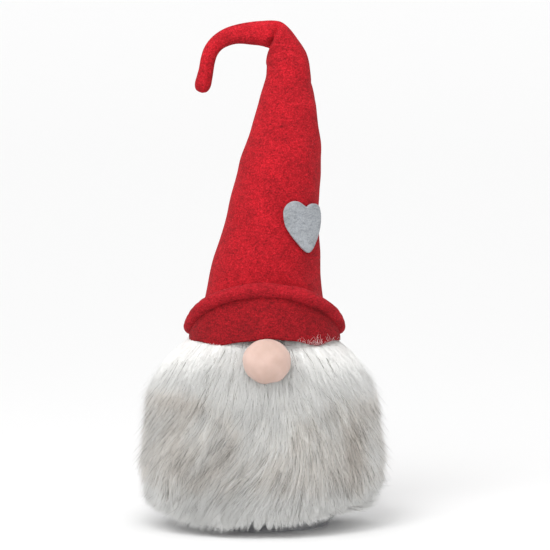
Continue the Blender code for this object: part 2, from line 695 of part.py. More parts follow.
def make_upper_hat(felt, fill, steel, cord):
    """Make the hat between the bend and the crown fold. Its filling ends in the bend's ball."""
    outer = [section_ring(s, 0.0, HAT_DEPTH_RATIO, AROUND) for s in UPPER_SECTIONS]
    inner = [section_ring(s, HAT_FELT, HAT_DEPTH_RATIO, AROUND) for s in UPPER_SECTIONS[:-1]]
    inner.append(section_ring(UPPER_SECTIONS[-1], HORN_FELT, HAT_DEPTH_RATIO, AROUND))
    place("hat_cone_upper", loft(outer + list(reversed(inner)), closed=True), felt)

    bore_angle = math.asin(WIRE_BORE / LEAN_BALL_RADIUS)
    neck_angle = math.pi - math.acos(LEAN_HALF_GAP / LEAN_BALL_RADIUS)
    ball = ball_rings(
        LEAN_PIVOT, LEAN_BALL_RADIUS, 0.0, bore_angle, neck_angle, 9, HAT_DEPTH_RATIO, AROUND)
    skin = HAT_FELT + 4 * GAP
    sections = UPPER_SECTIONS[1:UPPER_STUFFING_TOP + 1]
    sides = [section_ring(s, skin, HAT_DEPTH_RATIO, AROUND) for s in sections]
    bores = [bore_ring(section_centre(s), s[3]) for s in reversed(sections)]
    bores.append(bore_ring(LEAN_PIVOT))
    place("hat_stuffing_upper", loft(ball + sides + bores, closed=True), fill)

    low = LEAN_PIVOT - Vector((0, 0, LEAN_BALL_RADIUS - WIRE_END_MARGIN))
    points = [low, LEAN_PIVOT] + [section_centre(s) for s in sections]
    thread("hat_wire_upper", points, WIRE_RADIUS, steel)

    points = []
    for section in UPPER_SECTIONS[:-2]:
        depth = section[2] * MM * HAT_DEPTH_RATIO + SEAM_THREAD_RADIUS + 2 * GAP
        points.append(section_centre(section) + Vector((0, depth, 0)))
    thread("hat_back_seam_upper", points, SEAM_THREAD_RADIUS, cord)


def make_horn(felt, fill, steel):
    """Make the tip's first stretch, from the crown fold to the curl."""
    depth = HAT_DEPTH_RATIO
    outer = [section_ring(s, 0.0, depth) for s in HORN_SECTIONS]
    inner = [section_ring(s, HORN_FELT, depth) for s in HORN_SECTIONS]
    place("hat_tip_fold", loft(outer + list(reversed(inner)), closed=True), felt)

    bore_angle = math.asin(WIRE_BORE / FOLD_BALL_RADIUS)
    ball = ball_rings(
        FOLD_PIVOT, FOLD_BALL_RADIUS, FOLD_AXIS_TILT, bore_angle, FOLD_BALL_NECK, 8, depth)
    skin = HORN_FELT + 2 * GAP
    sections = HORN_SECTIONS[:-1]
    sides = [section_ring(s, skin, depth) for s in sections]
    bores = [bore_ring(section_centre(s), s[3], FINE_AROUND) for s in reversed(sections)]
    bores.append(bore_ring(FOLD_PIVOT, FOLD_AXIS_TILT, FINE_AROUND))
    place("tip_fold_stuffing", loft(ball + sides + bores, closed=True), fill)

    tilt = math.radians(FOLD_AXIS_TILT)
    axis = Vector((-math.sin(tilt), 0, math.cos(tilt)))
    points = [FOLD_PIVOT - axis * (FOLD_BALL_RADIUS - WIRE_END_MARGIN), FOLD_PIVOT]
    points += [section_centre(s) for s in sections]
    thread("tip_fold_wire", points, WIRE_RADIUS, steel)


def make_curl(felt, fill, steel, tape):
    """Make the tip's drooping end, whose filling starts in the curl's ball."""
    last = len(CURL_SECTIONS) - 1
    outer = [section_ring(s) for s in CURL_SECTIONS]
    inner = [section_ring(s, CURL_FELT) for s in CURL_SECTIONS[:last - 1]]
    place("hat_tip_curl", loft(list(reversed(inner)) + outer), felt)

    bore_angle = math.asin(WIRE_BORE / CURL_BALL_RADIUS)
    ball = ball_rings(
        CURL_PIVOT, CURL_BALL_RADIUS, CURL_BALL_TILT, bore_angle, CURL_BALL_NECK, 6)
    skin = CURL_FELT + 2 * GAP
    sections = CURL_SECTIONS[1:last - 2]
    sides = [section_ring(s, skin) for s in sections]
    bores = [bore_ring(section_centre(s), s[3], FINE_AROUND) for s in reversed(sections)]
    place("tip_curl_stuffing", loft(ball + sides + bores, closed=True), fill)

    points = [CURL_PIVOT] + [section_centre(s) for s in sections]
    thread("tip_curl_wire", points, WIRE_RADIUS, steel)
    end = section_centre(CURL_SECTIONS[last - 2])
    start = section_centre(CURL_SECTIONS[last - 3])
    along = (end - start).normalized() * WIRE_END_MARGIN
    thread("wire_end_tape", [start + along, end - along / 2], 2 * WIRE_RADIUS, tape)


def clear_scene():
    """Remove whatever the scene holds."""
    for obj in list(bpy.data.objects):
        bpy.data.objects.remove(obj)


def build():
    """Make every sub-part of the figurine."""
    clear_scene()
    grey_felt = material("grey_felt", (0.37, 0.38, 0.40), 0.95)
    red_felt = material("red_felt", (0.53, 0.02, 0.03), 0.95)
    heart_felt = material("heart_felt", (0.37, 0.39, 0.41), 0.95)
    fur = material("beard_fur", (0.68, 0.66, 0.62), 0.9)
    knit = material("fur_backing", (0.75, 0.73, 0.68), 0.95)
    skin = material("nose_jersey", (0.83, 0.62, 0.55), 0.85)
    cotton = material("cotton", (0.78, 0.75, 0.68), 0.95)
    fill = material("polyester_fill", (0.86, 0.86, 0.85), 0.95)
    grit = material("grit", (0.42, 0.38, 0.33), 0.8)
    board = material("grey_board", (0.45, 0.40, 0.33), 0.9)
    cord = material("thread", (0.55, 0.55, 0.55), 0.8)
    red_thread = material("red_thread", (0.45, 0.02, 0.03), 0.8)
    steel = material("wire", (0.55, 0.55, 0.56), 0.35, 1.0)
    glue = material("glue", (0.80, 0.76, 0.62), 0.4)
    tape = material("tape", (0.85, 0.84, 0.80), 0.7)

    make_body(grey_felt, cotton, board, grit, fill, cord)
    make_beard(knit, fur, cord)
    make_nose(skin, fill, cord)
    make_roll(red_felt, red_thread)
    make_band(red_felt)
    make_lower_hat(red_felt, fill, steel, red_thread)
    make_heart(heart_felt, glue)
    make_upper_hat(red_felt, fill, steel, red_thread)
    make_horn(red_felt, fill, steel)
    make_curl(red_felt, fill, steel, tape)


build()
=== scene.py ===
"""Looks of the tomte gnome figurine: long-pile fur made strand by strand, stuffed wool felt for the
hat, a jersey nose and a felt body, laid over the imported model. Lengths are in metres."""

import json
import math

import bmesh
import bpy
import numpy as np
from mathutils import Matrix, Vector


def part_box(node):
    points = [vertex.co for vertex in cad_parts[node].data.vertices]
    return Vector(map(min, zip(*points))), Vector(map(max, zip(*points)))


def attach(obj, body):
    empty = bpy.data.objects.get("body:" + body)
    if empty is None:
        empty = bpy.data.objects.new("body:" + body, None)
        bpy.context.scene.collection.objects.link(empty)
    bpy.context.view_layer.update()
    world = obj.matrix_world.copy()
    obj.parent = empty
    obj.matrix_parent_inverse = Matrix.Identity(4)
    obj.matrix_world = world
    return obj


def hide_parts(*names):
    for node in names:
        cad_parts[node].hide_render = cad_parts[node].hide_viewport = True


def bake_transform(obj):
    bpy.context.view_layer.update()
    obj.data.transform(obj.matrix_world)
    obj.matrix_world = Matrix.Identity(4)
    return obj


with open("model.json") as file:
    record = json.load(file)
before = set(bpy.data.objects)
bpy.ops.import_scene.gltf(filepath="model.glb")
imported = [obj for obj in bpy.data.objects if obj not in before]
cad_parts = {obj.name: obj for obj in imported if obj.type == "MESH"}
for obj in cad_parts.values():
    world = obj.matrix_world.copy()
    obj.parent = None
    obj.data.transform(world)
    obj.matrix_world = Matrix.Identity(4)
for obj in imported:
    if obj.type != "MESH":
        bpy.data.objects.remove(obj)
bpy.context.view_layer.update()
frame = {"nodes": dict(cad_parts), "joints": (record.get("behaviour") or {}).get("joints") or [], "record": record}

MM = 0.001


# ---- places read from the frame

def middle(node):
    """Return the centre of a CAD node's box."""
    low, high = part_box(node)
    return (low + high) / 2


def pivot(name):
    """Return a joint's pivot."""
    joint = next(j for j in frame["joints"] if j["name"] == name)
    return Vector(joint["pos_m"])


BAND_LOW, BAND_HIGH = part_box("hat_band")
NOSE_LOW, NOSE_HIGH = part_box("nose_cover")
AXIS_Y = middle("sole_felt").y
HEART_CENTRE = middle("heart_patch")
BEND = pivot("hat_bend")
FOLD = pivot("tip_fold")

# The figure's outlines as (height, half width), in mm above the sole.
BODY_OUTLINE = (
    (0.0, 52.0), (3.0, 56.0), (8.0, 60.5), (25.0, 68.0), (45.0, 70.0), (80.0, 70.0), (110.0, 68.0),
    (130.0, 63.5), (143.0, 57.5), (152.0, 52.0), (165.0, 45.0), (180.0, 35.0), (192.0, 22.0), (200.0, 8.0),
)
BODY_DEPTH_RATIO = 0.943
FUR_OUTLINE = (
    (-10.0, 82.0), (0.0, 88.0), (10.0, 92.0), (21.0, 94.5), (33.0, 97.0), (46.0, 99.5), (54.0, 99.5),
    (72.0, 97.5), (92.0, 95.0), (104.0, 94.0), (110.0, 92.5), (117.0, 89.0), (123.0, 86.0), (129.0, 82.0),
    (136.0, 79.5), (142.0, 73.0), (146.0, 67.0), (150.0, 61.5), (154.0, 57.5), (160.0, 54.0),
)
FUR_DEPTH_RATIO = 0.915
FUR_HALF_ANGLE = math.radians(115.0)

ROLL_SIDE_HEIGHT = 157.0 * MM
ROLL_RISE = 35.5 * MM
ROLL_TURN = 0.02
ROLL_HALF_WIDTH = 59.0 * MM
ROLL_FRONT_DEPTH = 48.0 * MM
ROLL_BACK_DEPTH = 56.0 * MM
ROLL_CENTRE_X = 2.0 * MM
ROLL_RADIUS = 6.0 * MM
FELT = 3.0 * MM
BAND_HALF_WIDTH = (BAND_HIGH.x - BAND_LOW.x) / 2
BAND_DEPTH_RATIO = 0.95
# How far the nose pushes the hat's hem forward, and over what half angle.
NOSE_PUSH = 10 * MM
NOSE_PUSH_REACH = 0.33


def hermite(t, start, start_slope, end, end_slope):
    """Return the smooth curve between two values with given slopes."""
    t2 = t * t
    t3 = t2 * t
    leaving = (2 * t3 - 3 * t2 + 1) * start + (t3 - 2 * t2 + t) * start_slope
    return leaving + (3 * t2 - 2 * t3) * end + (t3 - t2) * end_slope


def smooth(table, at):
    """Read a smooth curve through a table of (place, value) pairs in mm, at places in metres."""
    places = np.array([p for p, v in table]) * MM
    values = np.array([v for p, v in table]) * MM
    slopes = np.empty(len(places))
    slopes[1:-1] = (values[2:] - values[:-2]) / (places[2:] - places[:-2])
    slopes[0] = (values[1] - values[0]) / (places[1] - places[0])
    slopes[-1] = (values[-1] - values[-2]) / (places[-1] - places[-2])
    at = np.clip(np.asarray(at, float), places[0], places[-1])
    k = np.clip(np.searchsorted(places, at, side="right") - 1, 0, len(places) - 2)
    span = places[k + 1] - places[k]
    t = (at - places[k]) / span
    return hermite(t, values[k], slopes[k] * span, values[k + 1], slopes[k + 1] * span)


def ease(t):
    """Return 0 below 0, 1 above 1 and a smooth step between."""
    t = np.clip(t, 0.0, 1.0)
    return t * t * (3 - 2 * t)


def ripple(u, v, seed, waves=6, low=1.0, high=3.0):
    """Return smooth noise between about -1 and 1 over two coordinates, as a sum of waves."""
    draw = np.random.default_rng(seed)
    total = 0.0
    for _ in range(waves):
        fu, fv = draw.uniform(low, high, 2) * draw.choice((-1.0, 1.0), 2)
        total = total + np.sin(fu * u + fv * v + draw.uniform(0, 2 * math.pi))
    return total / math.sqrt(waves) / 1.2


def unit(vectors):
    """Return vectors at length 1."""
    return vectors / np.maximum(np.linalg.norm(vectors, axis=-1, keepdims=True), 1e-12)


def plan(azimuth, half_width, half_depth, height, centre_x=0.0):
    """Return points on upright ellipses. Azimuth 0 is the front, positive towards +X."""
    x = centre_x + half_width * np.sin(azimuth)
    y = AXIS_Y - half_depth * np.cos(azimuth)
    return np.stack(np.broadcast_arrays(x, y, height), axis=-1)


# ---- mesh helpers

def mesh_piece(name, points, corners, counts, materials):
    """Make a smooth mesh piece from points, the faces' corners in a row and each face's count of them."""
    mesh = bpy.data.meshes.new(name)
    mesh.vertices.add(len(points))
    mesh.vertices.foreach_set("co", np.asarray(points, np.float32).ravel())
    mesh.loops.add(len(corners))
    mesh.loops.foreach_set("vertex_index", np.asarray(corners, np.int32))
    mesh.polygons.add(len(counts))
    starts = np.cumsum(counts) - counts
    mesh.polygons.foreach_set("loop_start", starts.astype(np.int32))
    mesh.polygons.foreach_set("loop_total", np.asarray(counts, np.int32))
    for material in materials:
        mesh.materials.append(material)
    mesh.update(calc_edges=True)
    mesh.shade_smooth()
    piece = bpy.data.objects.new(name, mesh)
    bpy.context.scene.collection.objects.link(piece)
    return piece


def quad_mesh(name, points, quads, material):
    """Make a smooth mesh piece from points and four-cornered faces."""
    piece = mesh_piece(name, points, quads.ravel(), np.full(len(quads), 4), [material])
    piece.data.validate()
    return piece


def grid_quads(rows, columns, wrap_rows=False, wrap_columns=True, first=0):
    """Return the faces of a grid of points, whose rows or columns may close on themselves."""
    last_row = rows if wrap_rows else rows - 1
    last_column = columns if wrap_columns else columns - 1
    i, j = np.meshgrid(np.arange(last_row), np.arange(last_column), indexing="ij")
    i2 = (i + 1) % rows
    j2 = (j + 1) % columns
    faces = np.stack([i * columns + j, i * columns + j2, i2 * columns + j2, i2 * columns + j], axis=-1)
    return faces.reshape(-1, 4) + first


def close_ends(piece):
    """Close a piece's open rims, if it has any, and turn its faces outwards."""
    bm = bmesh.new()
    bm.from_mesh(piece.data)
    bmesh.ops.holes_fill(bm, edges=[e for e in bm.edges if e.is_boundary], sides=0)
    bmesh.ops.recalc_face_normals(bm, faces=bm.faces)
    bm.to_mesh(piece.data)
    bm.free()
    piece.data.shade_smooth()


def set_normals(piece, normals):
    """Shade a piece with given vertex normals, so that lengths that meet show no line."""
    piece.data.normals_split_custom_set_from_vertices(normals.reshape(-1, 3).tolist())


def turns(count):
    """Return the azimuths of a closed ring."""
    return np.arange(count) * (2 * math.pi / count)


def ring_piece(name, rings, material, wrap_rows=False):
    """Make a closed piece from rings. In a shell, the last one joins the first."""
    rings = np.asarray(rings)
    quads = grid_quads(*rings.shape[:2], wrap_rows=wrap_rows)
    piece = quad_mesh(name, rings.reshape(-1, 3), quads, material)
    close_ends(piece)
    return piece


def surface_normals(rings):
    """Return outward unit normals of a grid of rings."""
    along = np.gradient(rings, axis=0)
    across = (np.roll(rings, -1, axis=1) - np.roll(rings, 1, axis=1)) / 2
    normals = unit(np.cross(across, along))
    centres = rings.mean(axis=1, keepdims=True)
    if np.sum((rings - centres) * normals) < 0:
        normals = -normals
    return normals


# ---- materials

def new_material(name, colour, roughness, sheen=0.0, sheen_tint=(1.0, 1.0, 1.0)):
    """Return a material with its shader and node tree."""
    material = bpy.data.materials.new(name)
    material.use_nodes = True
    tree = material.node_tree
    shader = tree.nodes["Principled BSDF"]
    shader.inputs["Base Color"].default_value = (*colour, 1.0)
    shader.inputs["Roughness"].default_value = roughness
    shader.inputs["Specular IOR Level"].default_value = 0.25
    shader.inputs["Sheen Weight"].default_value = sheen
    shader.inputs["Sheen Roughness"].default_value = 0.5
    shader.inputs["Sheen Tint"].default_value = (*sheen_tint, 1.0)
    return material, tree, shader


def noise(tree, scale, detail=4.0, roughness=0.6, distortion=0.0, stretch=None):
    """Return the factor socket of a noise texture in object coordinates."""
    coordinates = tree.nodes.new("ShaderNodeTexCoord")
    source = coordinates.outputs["Object"]
    if stretch:
        mapping = tree.nodes.new("ShaderNodeMapping")
        mapping.inputs["Scale"].default_value = stretch
        tree.links.new(source, mapping.inputs["Vector"])
        source = mapping.outputs["Vector"]
    texture = tree.nodes.new("ShaderNodeTexNoise")
    texture.inputs["Scale"].default_value = scale
    texture.inputs["Detail"].default_value = detail
    texture.inputs["Roughness"].default_value = roughness
    texture.inputs["Distortion"].default_value = distortion
    tree.links.new(source, texture.inputs["Vector"])
    return texture.outputs["Fac"]


def ramp(tree, factor, stops):
    """Return the colour socket of a ramp through (place, colour) stops."""
    node = tree.nodes.new("ShaderNodeValToRGB")
    elements = node.color_ramp.elements
    while len(elements) < len(stops):
        elements.new(0.5)
    for element, (place, colour) in zip(elements, stops):
        element.position = place
        element.color = (*colour, 1.0)
    tree.links.new(factor, node.inputs["Fac"])
    return node.outputs["Color"]


def mix(tree, factor, first, second, blend="MIX"):
    """Return a mix of two colours. The factor and colours are sockets or plain values."""
    node = tree.nodes.new("ShaderNodeMix")
    node.data_type = "RGBA"
    node.blend_type = blend
    sockets = [socket for socket in node.inputs if socket.enabled]
    for value, socket in zip((factor, first, second), sockets):
        if isinstance(value, bpy.types.NodeSocket):
            tree.links.new(value, socket)
        elif isinstance(value, tuple):
            socket.default_value = (*value, 1.0)
        else:
            socket.default_value = value
    return next(socket for socket in node.outputs if socket.enabled)


def bump(tree, shader, heights):
    """Stack bumps on a shader. Each is (height socket, strength, distance)."""
    before = None
    for height, strength, distance in heights:
        node = tree.nodes.new("ShaderNodeBump")
        node.inputs["Strength"].default_value = strength
        node.inputs["Distance"].default_value = distance
        tree.links.new(height, node.inputs["Height"])
        if before:
            tree.links.new(before, node.inputs["Normal"])
        before = node.outputs["Normal"]
    tree.links.new(before, shader.inputs["Normal"])


def felt_material(name, dark, base, light, sheen, contrast=0.12):
    """Return pressed wool felt: matted fibres in slightly different dyes, with a soft nap, and random darker
    streaks of painted shade for small folds.
    """
    dark, base, light = linear(*dark), linear(*base), linear(*light)
    material, tree, shader = new_material(name, base, 0.95, sheen, light)
    speck = noise(tree, 950, 4.0, 0.75, 0.8)
    mat = noise(tree, 420, 6.0, 0.8, 1.6, (0.8, 0.8, 1.5))
    cloud = noise(tree, 42, 3.0, 0.6)
    tufts = noise(tree, 200, 5.0, 0.7, 1.2, (0.7, 0.7, 1.5))
    low, high = 0.5 - contrast, 0.5 + contrast
    fibres = ramp(tree, mat, ((low, dark), (0.5, base), (high, light)))
    specks = ramp(tree, speck, ((low, dark), (0.5, base), (high, light)))
    body = mix(tree, 0.5, fibres, specks)
    shade = ramp(tree, cloud, ((0.35, (0.8, 0.8, 0.8)), (0.65, (1.0, 1.0, 1.0))))
    # Random darker streaks, drawn out level, stand in for the shade in the felt's small folds: painted shade.
    painted_fold_shade = ramp(tree, tufts, ((0.36, (0.7, 0.7, 0.7)), (0.52, (1.0, 1.0, 1.0))))
    colour = mix(tree, 1.0, mix(tree, 1.0, body, shade, "MULTIPLY"), painted_fold_shade, "MULTIPLY")
    tree.links.new(colour, shader.inputs["Base Color"])
    bump(tree, shader, ((tufts, 0.5, 0.0009), (mat, 0.7, 0.0007), (speck, 0.6, 0.0004)))
    return material


def linear(r, g, b):
    """Return the linear colour of an sRGB one given in 0 to 255."""
    def one(c):
        c /= 255
        return c / 12.92 if c <= 0.04045 else ((c + 0.055) / 1.055) ** 2.4
    return one(r), one(g), one(b)


RED_FELT = felt_material("red_wool_felt", (96, 3, 12), (172, 9, 24), (222, 40, 54), 0.08)
# The roll and the band are the same red felt as the cone; their darker copies are painted shade, for the shade
# round the roll and on the band beneath it.
ROLL_FELT_PAINTED_SHADE = felt_material("red_wool_felt_roll_painted_shade", (96, 5, 15), (168, 13, 27), (216, 42, 57), 0.11)
BAND_FELT_PAINTED_SHADE = felt_material("red_wool_felt_band_painted_shade", (76, 3, 10), (142, 7, 19), (194, 30, 42), 0.06)
HEART_FELT = felt_material("grey_wool_felt", (138, 143, 148), (161, 165, 170), (182, 185, 189), 0.18)
BODY_FELT = felt_material("body_wool_felt", (132, 133, 136), (164, 165, 168), (190, 190, 192), 0.2)


def jersey_material():
    """Return fine peach jersey: tiny rows of loops over a soft mottled skin tone."""
    base = linear(216, 182, 168)
    material, tree, shader = new_material("nose_jersey", base, 0.75, 0.35, linear(255, 236, 228))
    cloud = noise(tree, 60, 3.0, 0.5)
    colour = ramp(tree, cloud, ((0.35, linear(190, 162, 150)), (0.65, linear(203, 175, 164))))
    tree.links.new(colour, shader.inputs["Base Color"])
    loops = noise(tree, 1500, 2.0, 0.5, 0.0, (1.0, 1.0, 0.55))
    bump(tree, shader, ((loops, 0.25, 0.0002), (cloud, 0.15, 0.001)))
    shader.inputs["Subsurface Weight"].default_value = 0.08
    shader.inputs["Subsurface Radius"].default_value = (0.006, 0.003, 0.002)
    return material


NOSE_JERSEY = jersey_material()


def fur_material(name, colour):
    """Return one tint of fur fibre. Fine ridges along the fibre break up its gloss."""
    material, tree, shader = new_material(name, linear(*colour), 0.55, 0.2)
    scales = noise(tree, 2500, 2.0, 0.6, 0.0, (1.0, 1.0, 0.1))
    bump(tree, shader, ((scales, 0.3, 0.0001),))
    return material


FUR_TINTS = [
    fur_material("fur_white", (252, 252, 250)),
    fur_material("fur_ivory", (247, 244, 239)),
    fur_material("fur_pearl", (238, 233, 227)),
    fur_material("fur_taupe", (222, 215, 207)),
    fur_material("fur_grey", (200, 194, 186)),
    # The darkest tint is partly the fur's dark guard hairs and partly painted shade between clumps.
    fur_material("fur_dark_and_painted_shade", (112, 106, 98)),
]


# ---- fur

STRANDS = 64000
STRANDS_PER_PIECE = 8000
STRAND_SIDES = 3
STRAND_STEPS = np.array((0.0, 0.2, 0.46, 0.74, 1.0))
STRAND_TAPER = np.array((0.9, 1.0, 0.95, 0.62, 0.02))
LOOSE_SHARE = 0.24
UNDER_SHARE = 0.16
FLYAWAY_SHARE = 0.35
LOOSE_RADIUS = 0.1 * MM
STRAND_RADIUS = 0.14 * MM
DARK_AND_SHADE_RADIUS = 0.17 * MM
DARK_AND_SHADE_TINT = 5
FUR_LENGTH = 40 * MM
FUR_TOP = 156 * MM
FUR_ROOT = 15 * MM
ROOTS_OVER_NOSE = 9 * MM
LEAST_DROP = 3 * MM
FLOOR_CLEARANCE = 0.8 * MM
CLUMP_WIDTH = 0.075
CLUMP_HEIGHT = 9 * MM
CLUMP_KINDS = 60000
CLUMP_JITTER = 0.4
TUFT_WIDTH = 0.06
TUFT_NOTCH = 12 * MM
TUFT_KINDS = 400
STRAY_FIBRES = 64
STRAY_RADIUS = 0.05 * MM

# How high the fur's lowest tips hang, as (azimuth in degrees, height in mm).
FUR_HEM = (
    (-90.0, 20.0), (-80.0, 15.0), (-60.0, 10.5), (-46.0, 4.0), (-36.0, 1.0), (-28.0, 0.3),
    (-18.0, 1.3), (-8.0, 3.2), (0.0, 4.2), (12.0, 4.0), (20.0, 5.5), (29.0, 7.0), (36.0, 10.0), (44.0, 14.0),
    (56.0, 18.0), (64.0, 22.0), (75.0, 26.0), (90.0, 27.0), (180.0, 22.0),
)

# Where the strands drift sideways as they fall: (x, height, reach in x, reach in height, drift).
FUR_DRIFTS = (
    (-62.0, 108.0, 28.0, 20.0, -0.95), (4.0, 84.0, 34.0, 30.0, -0.95), (-20.0, 45.0, 50.0, 25.0, -0.4),
    (48.0, 118.0, 20.0, 20.0, 0.35),
)

# Where the fur is paler (below 0) or browner (above 0): (x, height, reach in x, reach in height, amount).
# Most patches are the fur's own tone; the browner one at x 73 is painted shade in a valley of the fur, and the
# pale lobe below the nose is partly painted light on its bulge.
FUR_PATCHES = (
    (8.0, 103.0, 36.0, 19.0, -1.0), (0.0, 80.0, 18.0, 14.0, -0.75), (-20.0, 86.0, 11.0, 12.0, 0.4),
    (-34.0, 54.0, 14.0, 18.0, 0.05), (73.0, 60.0, 7.0, 28.0, 0.6), (90.0, 55.0, 8.0, 26.0, -0.3),
    (-86.0, 76.0, 7.0, 18.0, -0.1), (-64.0, 107.0, 18.0, 9.0, 0.6), (28.0, 88.0, 10.0, 14.0, 0.4),
    (-66.0, 62.0, 10.0, 22.0, 0.2), (-48.0, 84.0, 10.0, 14.0, -0.3), (-12.0, 40.0, 12.0, 14.0, -0.2),
)


def patches(table, x, height):
    """Add up soft round patches given in mm."""
    total = 0.0
    for patch_x, patch_height, reach_x, reach_height, amount in table:
        away = ((x / MM - patch_x) / reach_x) ** 2 + ((height / MM - patch_height) / reach_height) ** 2
        total = total + amount * np.exp(-away)
    return total


def fur_place(azimuth, height, depth):
    """Return points in the fur: depth 0 lies on the backing and depth 1 on the fur's outline."""
    near = smooth(BODY_OUTLINE, height) + 2 * MM
    near_depth = smooth(BODY_OUTLINE, height) * BODY_DEPTH_RATIO + 2 * MM
    far = np.maximum(smooth(FUR_OUTLINE, height), near + 1 * MM)
    far_depth = np.maximum(far * FUR_DEPTH_RATIO, near_depth + 1 * MM)
    edge = ease((FUR_HALF_ANGLE + 0.12 - np.abs(azimuth)) / 0.5)
    share = depth * (0.25 + 0.75 * edge)
    return plan(azimuth, near + (far - near) * share, near_depth + (far_depth - near_depth) * share, height)


def hem_height(azimuth):
    """Return how high the lowest tips hang at an azimuth."""
    azimuths, heights = zip(*FUR_HEM)
    return np.interp(np.degrees(azimuth), azimuths, heights) * MM


def clumps(azimuth, root):
    """Return the azimuth and height of each strand's clump, and the clump's random shares."""
    row = np.floor(root / CLUMP_HEIGHT + CLUMP_JITTER * ripple(azimuth * 6, root * 90, 13))
    shift = (row % 2) / 2
    column = np.floor(azimuth / CLUMP_WIDTH + shift + CLUMP_JITTER * ripple(azimuth * 5, root * 110, 14))
    table = np.random.default_rng(9).uniform(-1, 1, (CLUMP_KINDS, 6))
    shares = table[(row * 977 + column).astype(np.int64) % CLUMP_KINDS]
    clump_azimuth = (column + 0.5 - shift + 0.3 * shares[:, 0]) * CLUMP_WIDTH
    clump_root = (row + 0.5 + 0.35 * shares[:, 1]) * CLUMP_HEIGHT
    return clump_azimuth, clump_root, shares


def gather_tufts(azimuth, height, root):
    """Draw the strands near the hem into pointed tufts with notches between them."""
    tip = azimuth[:, -1:]
    place = tip / TUFT_WIDTH + 0.6 * ripple(tip * 7, 0.0, 15)
    off = place - np.floor(place) - 0.5
    kinds = np.random.default_rng(3).uniform(0.3, 1.0, TUFT_KINDS)
    size = kinds[np.floor(place).astype(int) % TUFT_KINDS]
    near_hem = ease((75 * MM - root) / (30 * MM))
    azimuth = azimuth - 0.7 * near_hem * off * TUFT_WIDTH * ease(STRAND_STEPS[None, :])
    limit = hem_height(tip) + TUFT_NOTCH * size * np.abs(2 * off)
    shrink = (root - limit) / np.maximum(root - height[:, -1:], 1 * MM)
    return azimuth, root + (height - root) * np.clip(shrink, 0.15, 1.0)


def make_strands():
    """Lay every strand's middle line, and return lines, radii and tints."""
    draw = np.random.default_rng(5)
    azimuth = draw.uniform(-FUR_HALF_ANGLE, FUR_HALF_ANGLE, STRANDS)
    climb = draw.uniform(0, 1, STRANDS) ** 0.95
    root = FUR_ROOT + (FUR_TOP - FUR_ROOT) * climb
    root = root + ROOTS_OVER_NOSE * climb ** 3 * np.exp(-(azimuth / 0.6) ** 2)
    clump_azimuth, clump_root, shares = clumps(azimuth, root)

    kind = draw.uniform(0, 1, STRANDS)
    loose = kind < LOOSE_SHARE
    under = kind > 1 - UNDER_SHARE
    low = ease((60 * MM - root) / (35 * MM))
    pull = np.where(loose, 0.15, draw.uniform(0.4, 0.85, STRANDS) + 0.22 * low * (kind < 0.7))
    top_depth = 0.93 + 0.08 * shares[:, 2] + draw.uniform(-0.14, 0.04, STRANDS)
    depth = np.where(loose, draw.uniform(0.8, 1.08, STRANDS), top_depth)
    depth = np.where(under, draw.uniform(0.55, 0.85, STRANDS), depth)
    length = FUR_LENGTH * draw.uniform(0.78, 1.12, STRANDS) * (1 + 0.15 * shares[:, 3])
    lowest = hem_height(azimuth) + 2 * MM * (1 + shares[:, 5]) + draw.exponential(1.5 * MM, STRANDS)
    drop = np.maximum(np.minimum(length, root - lowest), LEAST_DROP)

    t = STRAND_STEPS[None, :]
    azimuth, root, drop, pull = azimuth[:, None], root[:, None], drop[:, None], pull[:, None]
    rise = 4 * MM * np.sin(np.clip(t * 2.4, 0, 1) * math.pi)
    gather = pull * (clump_root[:, None] - root) * 0.3 * ease(t)
    height = np.maximum(root + rise + gather - drop * t ** 1.1, FLOOR_CLEARANCE)
    spread = smooth(FUR_OUTLINE, np.clip(height, 0, 0.15))
    x = spread * np.sin(azimuth)
    lean = patches(FUR_DRIFTS, x, root) + 0.16 * ripple(azimuth * 3.2, root * 40, 11)
    lean = lean + draw.normal(0, 0.15, (STRANDS, 1)) + 0.2 * shares[:, 4:5]
    line_azimuth = azimuth + pull * (clump_azimuth[:, None] - azimuth) * ease(t) ** 0.8
    line_azimuth = line_azimuth + lean * drop * t / spread
    wave = 1.5 * MM * np.sin(t * draw.uniform(3, 7, (STRANDS, 1)) + draw.uniform(0, 6.3, (STRANDS, 1)))
    line_azimuth = line_azimuth + wave * t / spread
    line_azimuth, height = gather_tufts(line_azimuth, height, root)

    settle = 0.5 * (1 - np.exp(-4.6 * t)) / (1 - math.exp(-4.6)) + 0.5 * t
    flyaway = loose & (draw.uniform(0, 1, STRANDS) < FLYAWAY_SHARE)
    flare = 0.12 * np.abs(shares[:, 4:5]) + np.where(flyaway, draw.uniform(0.05, 0.24, STRANDS), 0.0)[:, None]
    relief = np.clip(-0.14 * patches(FUR_PATCHES, x, height), -0.11, 0.11) * t
    lines = fur_place(line_azimuth, height, depth[:, None] * settle + flare * t ** 3 + relief)

    tints = choose_tints(draw, lines)
    radius = np.where(loose, LOOSE_RADIUS, STRAND_RADIUS) * draw.uniform(0.8, 1.2, STRANDS)
    radius = np.where(tints[:, -1] == DARK_AND_SHADE_TINT, DARK_AND_SHADE_RADIUS, radius)
    return lines, radius[:, None] * STRAND_TAPER, tints


